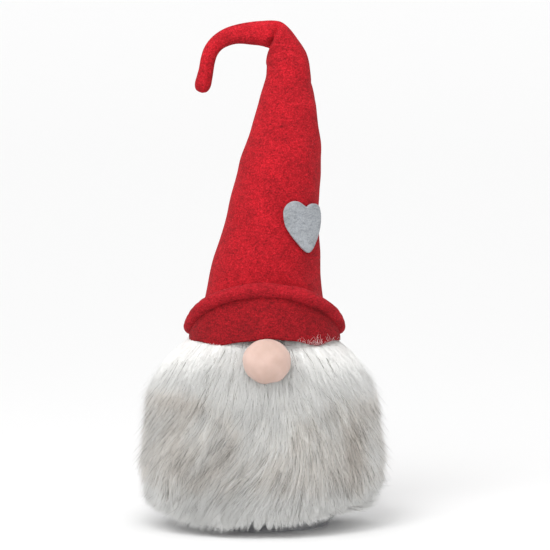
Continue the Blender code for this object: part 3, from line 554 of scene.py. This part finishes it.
def choose_tints(draw, lines):
    """Return each strand segment's tint: white on top, browner in patches, paler towards the hem (partly painted
    light), with some dark tips (partly painted shade).
    """
    count, points, _ = lines.shape
    mid = (lines[:, :-1] + lines[:, 1:]) / 2
    x, height = mid[..., 0], mid[..., 2]
    brown = 0.46 + patches(FUR_PATCHES, x, height) - 0.75 * ease((height - 100 * MM) / (18 * MM))
    # Paler towards the hem: partly the fur's own pale ends, partly painted light that offsets the shade under the
    # fringe.
    brown = brown - 0.75 * ease((44 * MM - height) / (30 * MM)) + 0.1 * ripple(x * 90, height * 90, 21)
    brown = np.clip(brown, 0.0, 1.0)
    level = brown * 3.4 + draw.uniform(-0.9, 0.9, (count, 1)) + draw.uniform(-0.2, 0.2, (count, points - 1))
    tints = np.clip(np.floor(level), 0, 4).astype(int)
    # Dark tips: partly the fur's dark guard hairs, partly painted shade for the shadows between clumps.
    groups = np.clip(ripple(x * 130, height * 100, 22, 8, 0.6, 2.5), 0, 1)
    chance = 0.025 + 0.26 * (0.22 + brown) * (0.25 + 0.75 * groups) * ease((128 * MM - height) / (25 * MM))
    chance = chance * (0.12 + 0.88 * ease((height - 12 * MM) / (28 * MM)))
    dark = draw.uniform(0, 1, (count, 1)) < chance[:, 2:3]
    tips = np.arange(points - 1)[None, :] >= 2
    return np.where(dark & tips, DARK_AND_SHADE_TINT, tints)


def strand_mesh(name, lines, radii, tints):
    """Make one piece of fur from its strands' middle lines. Each strand is a closed tapered spike."""
    count, points, _ = lines.shape
    tangent = unit(np.gradient(lines, axis=1))
    from_axis = lines - np.array((0.0, AXIS_Y, 0.0))
    from_axis[..., 2] = 0
    side = unit(np.cross(tangent, unit(from_axis)))
    up = np.cross(side, tangent)
    rings = points - 1
    angle = (turns(STRAND_SIDES) + math.pi / 2)[:, None]
    across = np.cos(angle) * side[:, :rings, None] + np.sin(angle) * up[:, :rings, None]
    ring_points = lines[:, :rings, None] + radii[:, :rings, None, None] * across
    per = rings * STRAND_SIDES + 1
    vertices = np.concatenate([ring_points.reshape(count, -1, 3), lines[:, -1:, :]], axis=1).reshape(-1, 3)
    sides = []
    for i in range(rings - 1):
        for j in range(STRAND_SIDES):
            j2 = (j + 1) % STRAND_SIDES
            a, b = i * STRAND_SIDES + j, i * STRAND_SIDES + j2
            sides.append((a, b, b + STRAND_SIDES, a + STRAND_SIDES))
    last = (rings - 1) * STRAND_SIDES
    tips = [(last + j, last + (j + 1) % STRAND_SIDES, per - 1) for j in range(STRAND_SIDES)]
    caps = [tuple(reversed(range(STRAND_SIDES)))]
    base = (np.arange(count) * per)[:, None, None]
    quads = (np.array(sides)[None] + base).reshape(-1, 4)
    triangles = (np.array(tips + caps)[None] + base).reshape(-1, 3)
    quad_tints = np.repeat(tints[:, : rings - 1], STRAND_SIDES, axis=1).reshape(-1)
    tip_tints = np.concatenate([np.repeat(tints[:, -1:], STRAND_SIDES, axis=1), tints[:, :1]], axis=1)

    corners = np.concatenate([quads.ravel(), triangles.ravel()])
    counts = np.concatenate([np.full(len(quads), 4), np.full(len(triangles), 3)])
    piece = mesh_piece(name, vertices, corners, counts, FUR_TINTS)
    indices = np.concatenate([quad_tints, tip_tints.ravel()])
    piece.data.polygons.foreach_set("material_index", indices.astype(np.int32))
    return piece


def make_undercoat():
    """Make the dense woolly fur under the long strands."""
    material, tree, shader = new_material("fur_undercoat", linear(206, 202, 195), 0.9, 0.3)
    streaks = noise(tree, 420, 4.0, 0.7, 0.6, (1.0, 1.0, 0.14))
    stops = ((0.3, linear(206, 202, 195)), (0.55, linear(236, 234, 229)), (0.75, linear(250, 249, 247)))
    colour = ramp(tree, streaks, stops)
    tree.links.new(colour, shader.inputs["Base Color"])
    bump(tree, shader, ((streaks, 0.9, 0.003),))
    rows, columns = 70, 170
    azimuths = np.linspace(-FUR_HALF_ANGLE, FUR_HALF_ANGLE, columns)[None, :]
    heights = np.linspace(16 * MM, 154 * MM, rows)[:, None]
    edge = np.sin(np.linspace(0, math.pi, rows))[:, None] ** 0.5
    lumps = 0.05 * ripple(azimuths * 14, heights * 160, 31, 10)
    outer = fur_place(azimuths + 0 * heights, heights + 0 * azimuths, (0.7 + lumps) * edge + 0.03)
    inner = fur_place(azimuths + 0 * heights, heights + 0 * azimuths, np.zeros((rows, columns)))
    points = np.concatenate([outer.reshape(-1, 3), inner.reshape(-1, 3)])
    first = rows * columns
    faces = [grid_quads(rows, columns, wrap_columns=False, first=start) for start in (0, first)]
    index = np.arange(first).reshape(rows, columns)
    for line in (index[0], index[-1], index[:, 0], index[:, -1]):
        faces.append(np.stack([line[:-1], line[1:], line[1:] + first, line[:-1] + first], axis=-1))
    piece = quad_mesh("beard_undercoat", points, np.concatenate(faces), material)
    close_ends(piece)
    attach(piece, "gnome")
    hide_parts("beard_pile")


def make_strays():
    """Make the few beard fibres caught on the hat's hem beside the nose."""
    draw = np.random.default_rng(17)
    count = STRAY_FIBRES
    beside_nose = draw.uniform(0, 1, count) < 0.75
    start = np.where(beside_nose, draw.normal(0.62, 0.3, count), draw.uniform(-1.3, 1.3, count))
    turn = draw.uniform(0, 2 * math.pi, count)[:, None]
    length = draw.uniform(3, 10, count)[:, None] * MM
    t = STRAND_STEPS[None, :]
    curl = draw.uniform(-2.2, 2.2, count)[:, None] * t
    along = length * t * np.cos(turn + curl)
    climb = length * t * np.abs(np.sin(turn + curl)) - 1.5 * MM
    height = BAND_LOW.z + 1.0 * MM + climb
    share = np.clip(climb / (24 * MM), 0, 1)
    half = BAND_HALF_WIDTH + 1.0 * MM + 0.8 * MM * np.sin(t * math.pi)
    azimuth = start[:, None] + along / half
    near = np.exp(-(azimuth / NOSE_PUSH_REACH) ** 2)
    depth = half * BAND_DEPTH_RATIO + NOSE_PUSH * near * (1 - share) - 8 * MM * share * np.cos(azimuth)
    lines = plan(azimuth, half, depth, height, ROLL_CENTRE_X)
    radii = np.full((count, 1), STRAY_RADIUS) * np.array((1.0, 1.0, 1.0, 0.8, 0.02))
    piece = strand_mesh("stray_fibres", lines, radii, np.zeros((count, len(STRAND_STEPS) - 1), int))
    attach(piece, "gnome")


def make_fur():
    """Make the beard: undercoat and long strands."""
    make_undercoat()
    lines, radii, tints = make_strands()
    order = np.argsort(lines[:, 0, 0])
    for i in range(0, STRANDS, STRANDS_PER_PIECE):
        chosen = order[i:i + STRANDS_PER_PIECE]
        name = f"beard_fur_{i // STRANDS_PER_PIECE + 1}"
        piece = strand_mesh(name, lines[chosen], radii[chosen], tints[chosen])
        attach(piece, "gnome")


# ---- body and nose

STITCH_RADIUS = 0.45 * MM
STITCH_LENGTH = 3.2 * MM
STITCH_SIDES = 8
BODY_FELT_THICKNESS = 2.4 * MM
BODY_SEAM_DEPTH = 2.2 * MM
BODY_SEAM_SPAN = (9 * MM, 140 * MM)


def make_body():
    """Make the felt bag and the seam down the middle of its back."""
    columns = 160
    foot = np.linspace(0.4 * MM, 20 * MM, 14)
    heights = np.concatenate([foot, np.linspace(21 * MM, 198 * MM, 110)])[:, None]
    azimuths = turns(columns)[None, :]
    half = smooth(BODY_OUTLINE, heights) - 0.4 * MM
    seam = np.exp(-((azimuths - math.pi) / 0.035) ** 2)
    sag = 1.0 * MM * ripple(np.cos(azimuths) * 2.5 + np.sin(azimuths) * 2.0, heights * 35, 41)
    back = ease((np.abs(np.angle(np.exp(1j * azimuths))) - math.radians(100)) / 0.5)
    swell = sag * back - BODY_SEAM_DEPTH * seam
    outer = plan(azimuths, half + swell, half * BODY_DEPTH_RATIO + swell, heights + 0 * azimuths)
    inside = half - BODY_FELT_THICKNESS
    inside_depth = half * BODY_DEPTH_RATIO - BODY_FELT_THICKNESS
    inner = plan(azimuths, inside, inside_depth, heights + 0 * azimuths)
    piece = ring_piece("body_felt_bag", np.concatenate([outer, inner[::-1]]), BODY_FELT, wrap_rows=True)
    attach(piece, "gnome")
    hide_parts("body_cover")

    behind = outer[:, columns // 2]
    chosen = (behind[:, 2] > BODY_SEAM_SPAN[0]) & (behind[:, 2] < BODY_SEAM_SPAN[1])
    seam_line = behind[chosen] + np.array((0, 0.3 * MM, 0))
    seam_thread = stitch_line("body_seam_thread", seam_line, CAD_FINISHES["thread"])
    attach(seam_thread, "gnome")
    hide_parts("body_back_seam")


def stitch_line(name, line, material):
    """Make a sewing thread along a line, swelling at each stitch."""
    travel = np.concatenate([[0], np.cumsum(np.linalg.norm(np.diff(line, axis=0), axis=1))])
    along = np.arange(0, travel[-1], 0.5 * MM)
    line = np.stack([np.interp(along, travel, line[:, axis]) for axis in range(3)], axis=-1)
    radius = STITCH_RADIUS * (0.6 + 0.4 * np.abs(np.sin(along * math.pi / STITCH_LENGTH)))
    side = np.array((1.0, 0.0, 0.0))
    up = np.cross(side, unit(np.gradient(line, axis=0)))
    angle = turns(STITCH_SIDES)[None, :, None]
    rings = line[:, None] + radius[:, None, None] * (np.cos(angle) * side + np.sin(angle) * up[:, None])
    return ring_piece(name, rings, material)


def make_nose():
    """Make the padded nose with the shallow dents of a hand-drawn ball of jersey."""
    rows, columns = 64, 96
    centre = np.array(middle("nose_cover"))
    half = np.array((NOSE_HIGH - NOSE_LOW) / 2)
    polar = np.linspace(0.03, math.pi - 0.03, rows)[:, None]
    azimuth = turns(columns)[None, :]
    breadth = np.where(polar > math.pi / 2, np.sin(polar) ** 0.6, np.sin(polar))
    unit = np.stack(np.broadcast_arrays(
        breadth * np.sin(azimuth), -np.cos(polar) + 0 * azimuth, breadth * np.cos(azimuth)), axis=-1)
    dents = 0.35 * MM * ripple(unit[..., 0] * 3, unit[..., 2] * 3 + unit[..., 1], 51)
    points = centre + unit * half + unit * dents[..., None]
    piece = ring_piece("nose_ball", points, NOSE_JERSEY)
    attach(piece, "gnome")
    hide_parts("nose_cover")


# ---- hat

def roll_centre(azimuth):
    """Return the middle of the rolled tuck, which climbs over the front of the hat."""
    towards_front = np.cos(azimuth)
    rise = (towards_front + np.sqrt(towards_front ** 2 + ROLL_TURN)) / 2
    depth = np.where(towards_front > 0, ROLL_FRONT_DEPTH, ROLL_BACK_DEPTH)
    return plan(azimuth, ROLL_HALF_WIDTH, depth, ROLL_SIDE_HEIGHT + ROLL_RISE * rise, ROLL_CENTRE_X)


def outward(azimuth):
    """Return level unit vectors pointing away from the axis."""
    return np.stack([np.sin(azimuth), -np.cos(azimuth), 0 * azimuth], axis=-1)


# x, z, half width and tilt of the hat's cross-sections, in mm and degrees.
HAT_SECTIONS = (
    (2.4, 204.0, 44.0, 0.0), (4.4, 216.7, 42.6, 0.0), (6.0, 229.5, 40.4, 0.0),
    (7.6, 242.0, 38.4, 0.0), (9.0, 255.0, 36.2, 0.0), (11.2, 268.0, 34.7, 0.0),
    (13.2, 281.0, 33.8, 0.0), (14.8, 293.7, 32.2, 0.0), (16.8, 305.0, 30.1, 0.0),
    (18.4, 317.0, 27.3, 0.0), (19.3, 327.0, 25.5, 0.0), (19.8, 337.0, 23.6, 0.0),
    (20.0, 346.0, 21.6, 1.0), (20.4, 354.0, 19.5, 3.0), (20.8, 362.0, 17.8, 7.0),
    (20.5, 369.0, 17.0, 11.0), (19.2, 375.4, 16.4, 17.0), (15.9, 383.6, 14.4, 32.0),
    (12.8, 389.4, 13.3, 50.0), (10.0, 392.6, 12.5, 66.0), (5.0, 394.0, 11.2, 78.0),
    (0.0, 394.5, 10.1, 85.0), (-8.0, 394.6, 9.2, 90.0), (-20.0, 393.8, 7.7, 96.0),
    (-28.5, 391.4, 7.1, 109.0), (-35.6, 387.0, 6.5, 127.0), (-40.6, 380.6, 6.2, 147.0),
    (-43.2, 373.2, 6.0, 163.0), (-44.6, 366.0, 5.9, 170.0), (-46.0, 359.5, 6.2, 169.0),
    (-47.4, 353.5, 6.3, 167.0), (-48.3, 350.0, 5.2, 167.0), (-48.8, 348.2, 3.4, 167.0),
    (-49.0, 347.5, 1.2, 167.0),
)
HAT_COLUMNS = 168
HAT_DEPTH_RATIO = 0.95
PINCH = (10.0, 392.6)
PINCH_DEPTH = 6.2 * MM
PINCH_LIP = 0.9 * MM
FOOT_RINGS = 30
# How many rings short of the tip's end its inside stops.
TIP_END = 6
SLACK = 0.5 * MM
SEAM_LIFT = 0.2 * MM
# The sections between which the rings lie closest.
FINE_FROM, FINE_TO = 14, 23
# Wrinkles as (mm past the pinch, azimuth, depth in mm, width in mm).
WRINKLES = (
    (-52, 0.7, 0.9, 2.2), (-40, 1.1, 0.7, 1.8), (-24, -0.9, 0.8, 2.4),
    (12, -0.4, 0.7, 2.0), (22, 0.5, 0.6, 1.6))


def hat_section(height):
    """Return the centre x and half width of the upright cone at a height."""
    upright = [row for row in HAT_SECTIONS if row[3] == 0.0]
    return [smooth([(row[1], row[k]) for row in upright], height) for k in (0, 2)]


def hat_rings():
    """Return the felt's outside from the foot inside the roll to the end of the tip, as rings."""
    table = np.array(HAT_SECTIONS)
    steps = np.concatenate([[0], np.cumsum(np.linalg.norm(np.diff(table[:, :2], axis=0), axis=1))])
    fine, coarse = steps[FINE_FROM], steps[FINE_TO]
    places = np.concatenate([
        np.arange(0, fine, 1.4), np.arange(fine, coarse, 0.6), np.arange(coarse, steps[-1], 0.9), steps[-1:]])
    x, z, half, tilt = [smooth(tuple(zip(steps, table[:, k])), places * MM) for k in range(4)]
    tilt = np.radians(tilt / MM)
    angle = turns(HAT_COLUMNS)
    across = np.stack([np.cos(tilt), 0 * tilt, np.sin(tilt)], axis=-1)
    centre = np.stack([x, AXIS_Y + 0 * x, z], axis=-1)
    front = np.array((0.0, -HAT_DEPTH_RATIO, 0.0))
    radial = across[:, None, :] * np.sin(angle)[None, :, None] + front * np.cos(angle)[None, :, None]
    rings = centre[:, None, :] + radial * half[:, None, None]

    up = np.array((0.0, 0.0, 1.0))
    foot = roll_centre(angle) - outward(angle) * 2.0 * MM - up * 1.0 * MM
    top = rings[0]
    reach = np.linalg.norm(top - foot, axis=-1, keepdims=True)
    leave = (up * 0.6 - outward(angle) * 0.8) * reach * 0.5
    arrive = unit(rings[1] - rings[0]) * reach * 0.8
    feet = [hermite(t, foot, leave, top, arrive) for t in np.linspace(0, 1, FOOT_RINGS)[:-1]]
    return np.concatenate([np.array(feet), rings])


def crease_hat(rings):
    """Press the felt's pinch, wrinkles and slack into the smooth form."""
    normals = surface_normals(rings)
    angle = turns(rings.shape[1])[None, :]
    middles = rings.mean(axis=1)
    travel = np.concatenate([[0], np.cumsum(np.linalg.norm(np.diff(middles, axis=0), axis=1))])
    pinch = int(np.argmin(np.hypot(middles[:, 0] - PINCH[0] * MM, middles[:, 2] - PINCH[1] * MM)))
    past = ((travel - travel[pinch]) / MM)[:, None]
    half = half_width_of(rings)

    along = travel[:, None]
    slack = SLACK * ripple(np.cos(angle) * 2.5 + along * 30, along * 55 + np.sin(angle) * 2.5, 61, 9)
    from_heart = np.linalg.norm(rings - np.array(HEART_CENTRE), axis=-1)
    slack = slack * ease((from_heart - 18 * MM) / (16 * MM)) * np.clip(half / (20 * MM), 0.35, 1.0)
    wrinkles = 0.0
    for place, facing, depth, width in WRINKLES:
        away = past - place + 2.2 * np.sin(angle - facing)
        around = np.exp(-((np.angle(np.exp(1j * (angle - facing)))) / 0.75) ** 2)
        wrinkles = wrinkles - depth * MM * np.exp(-(away / width) ** 2) * around
    rings = rings + normals * (slack + wrinkles)[..., None]

    share = ease((np.abs(np.cos(angle)) - 0.08) / 0.55)
    side = np.where(np.cos(angle) > 0, share, 0.45 * share)
    inner = ease((-np.sin(angle) - 0.5) / 0.5) * 0.25
    valley = np.where(past < 0, np.exp(past / 1.1), np.exp(-past / 4.5))
    lip = np.exp(-((past + 3.2) / 2.4) ** 2)
    push = PINCH_DEPTH * valley * np.maximum(side, inner) - PINCH_LIP * lip * side
    return rings + unit(middles[:, None, :] - rings) * push[..., None]


def make_hat():
    """Make the stuffed felt cone with its folded tip, in three lengths that each cross one bend."""
    rings = crease_hat(hat_rings())
    normals = surface_normals(rings)
    inner = rings - normals * np.minimum(FELT, 0.3 * half_width_of(rings))[..., None]
    centre_z = rings[..., 2].mean(axis=1)
    centre_x = rings[..., 0].mean(axis=1)
    after_bend = int(np.argmax(centre_z > BEND.z + 42 * MM))
    after_fold = int(np.argmax((centre_x < FOLD.x - 28 * MM) & (centre_z > FOLD.z - 5 * MM)))
    cuts = [(0, after_bend), (after_bend, after_fold), (after_fold, len(rings) - 1)]
    pieces = []
    for name, (low, high) in zip(("hat_felt_cone", "hat_felt_crown", "hat_felt_tip"), cuts):
        outer = rings[low:high + 1]
        inside = inner[low:high + 1]
        if high == len(rings) - 1:
            piece = ring_piece(name, np.concatenate([inside[-1 - TIP_END::-1], outer]), RED_FELT)
        else:
            piece = ring_piece(name, np.concatenate([outer, inside[::-1]]), RED_FELT, wrap_rows=True)
            faces = normals[low:high + 1]
            set_normals(piece, np.concatenate([faces, -faces[::-1]]))
        pieces.append(piece)
    make_hat_seam(rings[:after_fold], normals[:after_fold])
    filling = make_crown_filling(rings[after_bend - 8:after_fold], normals[after_bend - 8:after_fold])
    cone, crown, tip = pieces
    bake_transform(cone)
    for piece in (crown, filling):
        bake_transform(piece)
    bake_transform(tip)
    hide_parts("hat_cone_lower")
    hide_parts("hat_cone_upper", "hat_tip_fold")
    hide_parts("hat_stuffing_upper", "tip_fold_stuffing")
    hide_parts("hat_tip_curl")


def make_hat_seam(rings, normals):
    """Make the seam up the back of the cone, from above the roll to below the fold."""
    behind = HAT_COLUMNS // 2
    below_fold = rings[..., 2].mean(axis=1) < FOLD.z - 16 * MM
    chosen = (rings[:, behind, 2] > ROLL_SIDE_HEIGHT + 12 * MM) & below_fold
    line = rings[chosen, behind] + normals[chosen, behind] * SEAM_LIFT
    seam_thread = stitch_line("hat_seam_thread", line, CAD_FINISHES["red_thread"])
    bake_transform(seam_thread)
    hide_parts("hat_back_seam_lower", "hat_back_seam_upper")


def make_crown_filling(rings, normals):
    """Make the wadding in the crown, pinched with the felt round it."""
    material, tree, shader = new_material("wadding", linear(236, 236, 234), 0.95, 0.2)
    tufts = noise(tree, 260, 5.0, 0.7, 1.0)
    colour = ramp(tree, tufts, ((0.35, linear(214, 214, 212)), (0.65, linear(244, 244, 243))))
    tree.links.new(colour, shader.inputs["Base Color"])
    bump(tree, shader, ((tufts, 0.6, 0.001),))
    inset = np.minimum(FELT + 0.6 * MM, 0.42 * half_width_of(rings))
    inside = rings - normals * inset[..., None]
    piece = ring_piece("hat_filling_crown", inside, material)
    return piece


def half_width_of(rings):
    """Return each point's distance from its ring's middle."""
    return np.linalg.norm(rings - rings.mean(axis=1, keepdims=True), axis=-1)


def make_roll():
    """Make the rolled tuck round the hat's foot."""
    columns, around = 260, 28
    azimuth = turns(columns)
    centre = roll_centre(azimuth)
    radius = ROLL_RADIUS * (1 + 0.07 * ripple(azimuth * 5, 0, 71) + 0.03 * ripple(azimuth * 17, 0, 72))
    out = outward(azimuth)
    up = np.array((0, 0, 1.0))
    rings = []
    for angle in turns(around):
        rings.append(centre + (out * math.cos(angle) + up * math.sin(angle)) * radius[:, None])
    # The roll's felt is a darker copy of the hat's felt: painted shade.
    piece = ring_piece("hat_felt_roll", rings, ROLL_FELT_PAINTED_SHADE, wrap_rows=True)
    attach(piece, "gnome")
    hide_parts("hat_roll")


def make_band():
    """Make the felt band from the roll down to the hem, which rides up over the nose."""
    columns = 260
    azimuth = turns(columns)
    half = BAND_HALF_WIDTH
    away = np.angle(np.exp(1j * (azimuth - middle("nose_cover").x / half)))
    near = np.exp(-(away / NOSE_PUSH_REACH) ** 2)
    wave = 0.7 * MM * ripple(azimuth * 5, 0, 81)
    shares = np.linspace(0, 1, 22)
    outer, inner = [], []
    for share in shares:
        for rings, inset in ((outer, 0.0), (inner, FELT)):
            depth = half * BAND_DEPTH_RATIO - inset + NOSE_PUSH * near
            hem = plan(azimuth, half - inset, depth, BAND_LOW.z + 7.5 * MM * near + wave, ROLL_CENTRE_X)
            top = roll_centre(azimuth) - outward(azimuth) * (inset + 1.5 * MM)
            ring = hem * (1 - share) + top * share
            belly = 1.2 * MM * math.sin(math.pi * share)
            rings.append(ring + outward(azimuth) * belly)
    # The band's felt is a darker copy of the hat's felt: painted shade under the roll.
    piece = ring_piece("hat_felt_band", np.concatenate([outer, inner[::-1]]), BAND_FELT_PAINTED_SHADE, wrap_rows=True)
    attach(piece, "gnome")
    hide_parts("hat_band")


# The heart's outline from its cleft round to the left, as (across, up) in mm.
HEART_OUTLINE = (
    (1.7, 15.4), (-1.9, 18.0), (-6.7, 20.6), (-11.4, 21.0), (-15.5, 18.6), (-17.7, 14.6),
    (-18.0, 9.6), (-16.7, 1.6), (-12.6, -5.4), (-6.7, -12.4), (-0.9, -18.2), (4.0, -20.8),
    (8.4, -18.2), (13.4, -10.4), (16.6, -1.4), (17.8, 7.6), (16.0, 14.4), (12.4, 17.6), (7.6, 18.4),
    (4.0, 17.2),
)
HEART_THICKNESS = 2.6 * MM
HEART_LIFT = 1.0 * MM
HEART_CURVE = 60 * MM


def closed_curve(points, steps):
    """Return a smooth closed curve through points, starting at the first with a crisp corner."""
    points = np.array(points) * MM
    points = np.concatenate([points, points[:1]])
    slopes = np.empty_like(points)
    slopes[1:-1] = (points[2:] - points[:-2]) / 2
    slopes[0] = points[1] - points[0]
    slopes[-1] = points[-1] - points[-2]
    curve = []
    for k in range(len(points) - 1):
        for t in np.arange(steps) / steps:
            curve.append(hermite(t, points[k], slopes[k], points[k + 1], slopes[k + 1]))
    return np.array(curve)


def on_cone(facing, across, up, lift):
    """Return points over the hat's cone, laid out from the heart's centre and lifted off the felt."""
    height = HEART_CENTRE[2] + up * 0.985
    centre_x, half = hat_section(height)
    azimuth = facing + across / half
    flatten = across ** 2 / 2 * (1 / half - 1 / HEART_CURVE)
    reach = half + lift + np.maximum(flatten, 0)
    return plan(azimuth, reach, half * HAT_DEPTH_RATIO + lift + np.maximum(flatten, 0), height, centre_x)


def make_heart():
    """Make the thick felt heart, glued on at its middle so that its edges stand a little proud."""
    centre_x, _ = hat_section(HEART_CENTRE[2])
    facing = math.atan2(HEART_CENTRE[0] - centre_x, -(HEART_CENTRE[1] - AXIS_Y) / HAT_DEPTH_RATIO)
    outline = closed_curve(HEART_OUTLINE, 6)
    middle_point = outline.mean(axis=0) * np.array((1.0, 0.6))

    def ring(share, lift):
        points = middle_point + (outline - middle_point) * share
        nap = 0.08 * MM * ripple(points[:, 0] * 900, points[:, 1] * 900, 91)
        return on_cone(facing, points[:, 0], points[:, 1], lift + nap)

    low, high = HEART_LIFT, HEART_LIFT + HEART_THICKNESS
    rings = [ring(share, low) for share in (0.03, 0.3, 0.6, 0.85, 0.96)]
    rings += [ring(0.99, low + 0.2 * MM), ring(1.0, low + 0.6 * MM), ring(1.0, low + 1.3 * MM)]
    rings += [ring(1.0, high - 0.5 * MM), ring(0.985, high - 0.12 * MM), ring(0.96, high)]
    rings += [ring(share, high + 0.05 * MM) for share in (0.9, 0.8, 0.7, 0.6, 0.5, 0.4, 0.3, 0.2, 0.1, 0.03)]
    piece = ring_piece("felt_heart", rings, HEART_FELT)
    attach(piece, "gnome")
    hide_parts("heart_patch")


# ---- pieces kept from the CAD

def thread_material(name, dark, light):
    """Return a twisted sewing thread in two tones."""
    dark, light = linear(*dark), linear(*light)
    material, tree, shader = new_material(name, light, 0.7, 0.2)
    twist = noise(tree, 3000, 2.0, 0.5, 0.0, (1.0, 1.0, 0.3))
    tree.links.new(ramp(tree, twist, ((0.3, dark), (0.7, light))), shader.inputs["Base Color"])
    bump(tree, shader, ((twist, 0.5, 0.0002),))
    return material


def plain_material(name, colour, roughness, grain, strength, metallic=0.0):
    """Return a plain stuff of one colour with a fine grain."""
    material, tree, shader = new_material(name, linear(*colour), roughness)
    shader.inputs["Metallic"].default_value = metallic
    bump(tree, shader, ((noise(tree, grain), strength, 0.0004),))
    return material


# The CAD nodes that are kept, by the record's slot.
CAD_FINISHES = {
    "thread": thread_material("sewing_thread", (160, 158, 154), (212, 210, 206)),
    "red_thread": thread_material("red_sewing_thread", (118, 12, 20), (176, 28, 38)),
    "grey_felt": BODY_FELT,
    "cotton": plain_material("cotton_cloth", (222, 216, 202), 0.9, 1400, 0.4),
    "grit": plain_material("mineral_grit", (172, 166, 154), 0.7, 420, 0.9),
    "grey_board": plain_material("grey_board", (150, 149, 146), 0.85, 1200, 0.2),
    "polyester_fill": plain_material("polyester_filling", (238, 238, 235), 0.95, 260, 0.8),
    "fur_backing": plain_material("knitted_backing", (214, 210, 202), 0.9, 1500, 0.4),
    "wire": plain_material("galvanised_wire", (176, 178, 182), 0.35, 900, 0.15, 1.0),
    "glue": plain_material("hardened_glue", (224, 214, 188), 0.3, 200, 0.2),
    "tape": plain_material("paper_tape", (220, 210, 184), 0.75, 900, 0.3),
}


def finish_cad_nodes():
    """Give every CAD node that is kept its own procedural material."""
    for subpart in frame["record"]["subparts"]:
        finish = CAD_FINISHES.get(subpart["material_slot"])
        if finish:
            for slot in frame["nodes"][subpart["node"]].material_slots:
                slot.material = finish


# ---- stage, light and camera

CAMERA_ELEVATION = math.radians(5.0)
CAMERA_DISTANCE = 2.6
VIEW_WIDTH = 0.44
VIEW_CENTRE = Vector((0.0104, 0.0, 0.2019))
SENSOR = 36.0
# The floor is a disc that is flat near the figure and sweeps up far away.
FLOOR_RADIUS = 40.0
FLAT_RADIUS = 6.0
SWEEP_RISE = 6.0
FLOOR_HOLE = 0.001
FLOOR_RINGS = 61
FLOOR_SIDES = 96
CLIP_END = 600.0
WORLD_STRENGTH = 0.84


def make_stage():
    """Make the pale floor and backdrop, the lights and the camera."""
    floor_material, tree, shader = new_material("stage_paper", (0.9, 0.9, 0.9), 0.9)
    bump(tree, shader, ((noise(tree, 300, 2.0, 0.5), 0.02, 0.0005),))
    radius = np.linspace(FLOOR_HOLE, FLOOR_RADIUS, FLOOR_RINGS)[:, None]
    around = turns(FLOOR_SIDES)[None, :]
    rise = SWEEP_RISE * np.clip((radius - FLAT_RADIUS) / (FLOOR_RADIUS - FLAT_RADIUS), 0, 1) ** 2
    points = np.stack(np.broadcast_arrays(radius * np.sin(around), radius * np.cos(around), rise), axis=-1)
    quads = grid_quads(FLOOR_RINGS, FLOOR_SIDES)
    floor = quad_mesh("stage_floor", points.reshape(-1, 3), quads, floor_material)

    world = bpy.data.worlds.new("studio")
    world.use_nodes = True
    background = world.node_tree.nodes["Background"]
    background.inputs["Color"].default_value = (1.0, 1.0, 1.0, 1.0)
    background.inputs["Strength"].default_value = WORLD_STRENGTH
    bpy.context.scene.world = world

    add_sun("key_sun", (-0.75, -1.7, 1.5), math.radians(50), 1.25)
    add_light("crown_light", (-0.06, -0.24, 0.62), (0, 0, 0.38), 0.2, 1.0)
    add_light("hem_light", (0.0, -0.62, 0.11), (0, 0, 0.03), 0.16, 0.22)
    bpy.context.scene.view_settings.view_transform = "Standard"

    data = bpy.data.cameras.new("camera")
    data.sensor_width = SENSOR
    data.lens = SENSOR * CAMERA_DISTANCE / VIEW_WIDTH
    data.clip_end = CLIP_END
    camera = bpy.data.objects.new("camera", data)
    away = Vector((0, -math.cos(CAMERA_ELEVATION), math.sin(CAMERA_ELEVATION)))
    camera.location = VIEW_CENTRE + away * CAMERA_DISTANCE
    camera.rotation_euler = (math.pi / 2 - CAMERA_ELEVATION, 0, 0)
    bpy.context.scene.collection.objects.link(camera)
    bpy.context.scene.camera = camera


def aim(light, location, target):
    """Place a light and turn it towards a point."""
    light.location = location
    light.rotation_euler = (Vector(target) - Vector(location)).to_track_quat("-Z", "Y").to_euler()
    bpy.context.scene.collection.objects.link(light)


def add_sun(name, location, angle, strength):
    """Add a broad soft light that is even over the figure and the floor."""
    data = bpy.data.lights.new(name, "SUN")
    data.angle = angle
    data.energy = strength
    aim(bpy.data.objects.new(name, data), location, (0, 0, 0.2))


def add_light(name, location, target, size, power):
    """Add a small soft light."""
    data = bpy.data.lights.new(name, "AREA")
    data.shape = "SQUARE"
    data.size = size
    data.energy = power
    light = bpy.data.objects.new(name, data)
    light.visible_camera = False
    aim(light, location, target)


make_stage()
make_body()
make_fur()
make_nose()
make_hat()
make_roll()
make_band()
make_strays()
make_heart()
finish_cad_nodes()
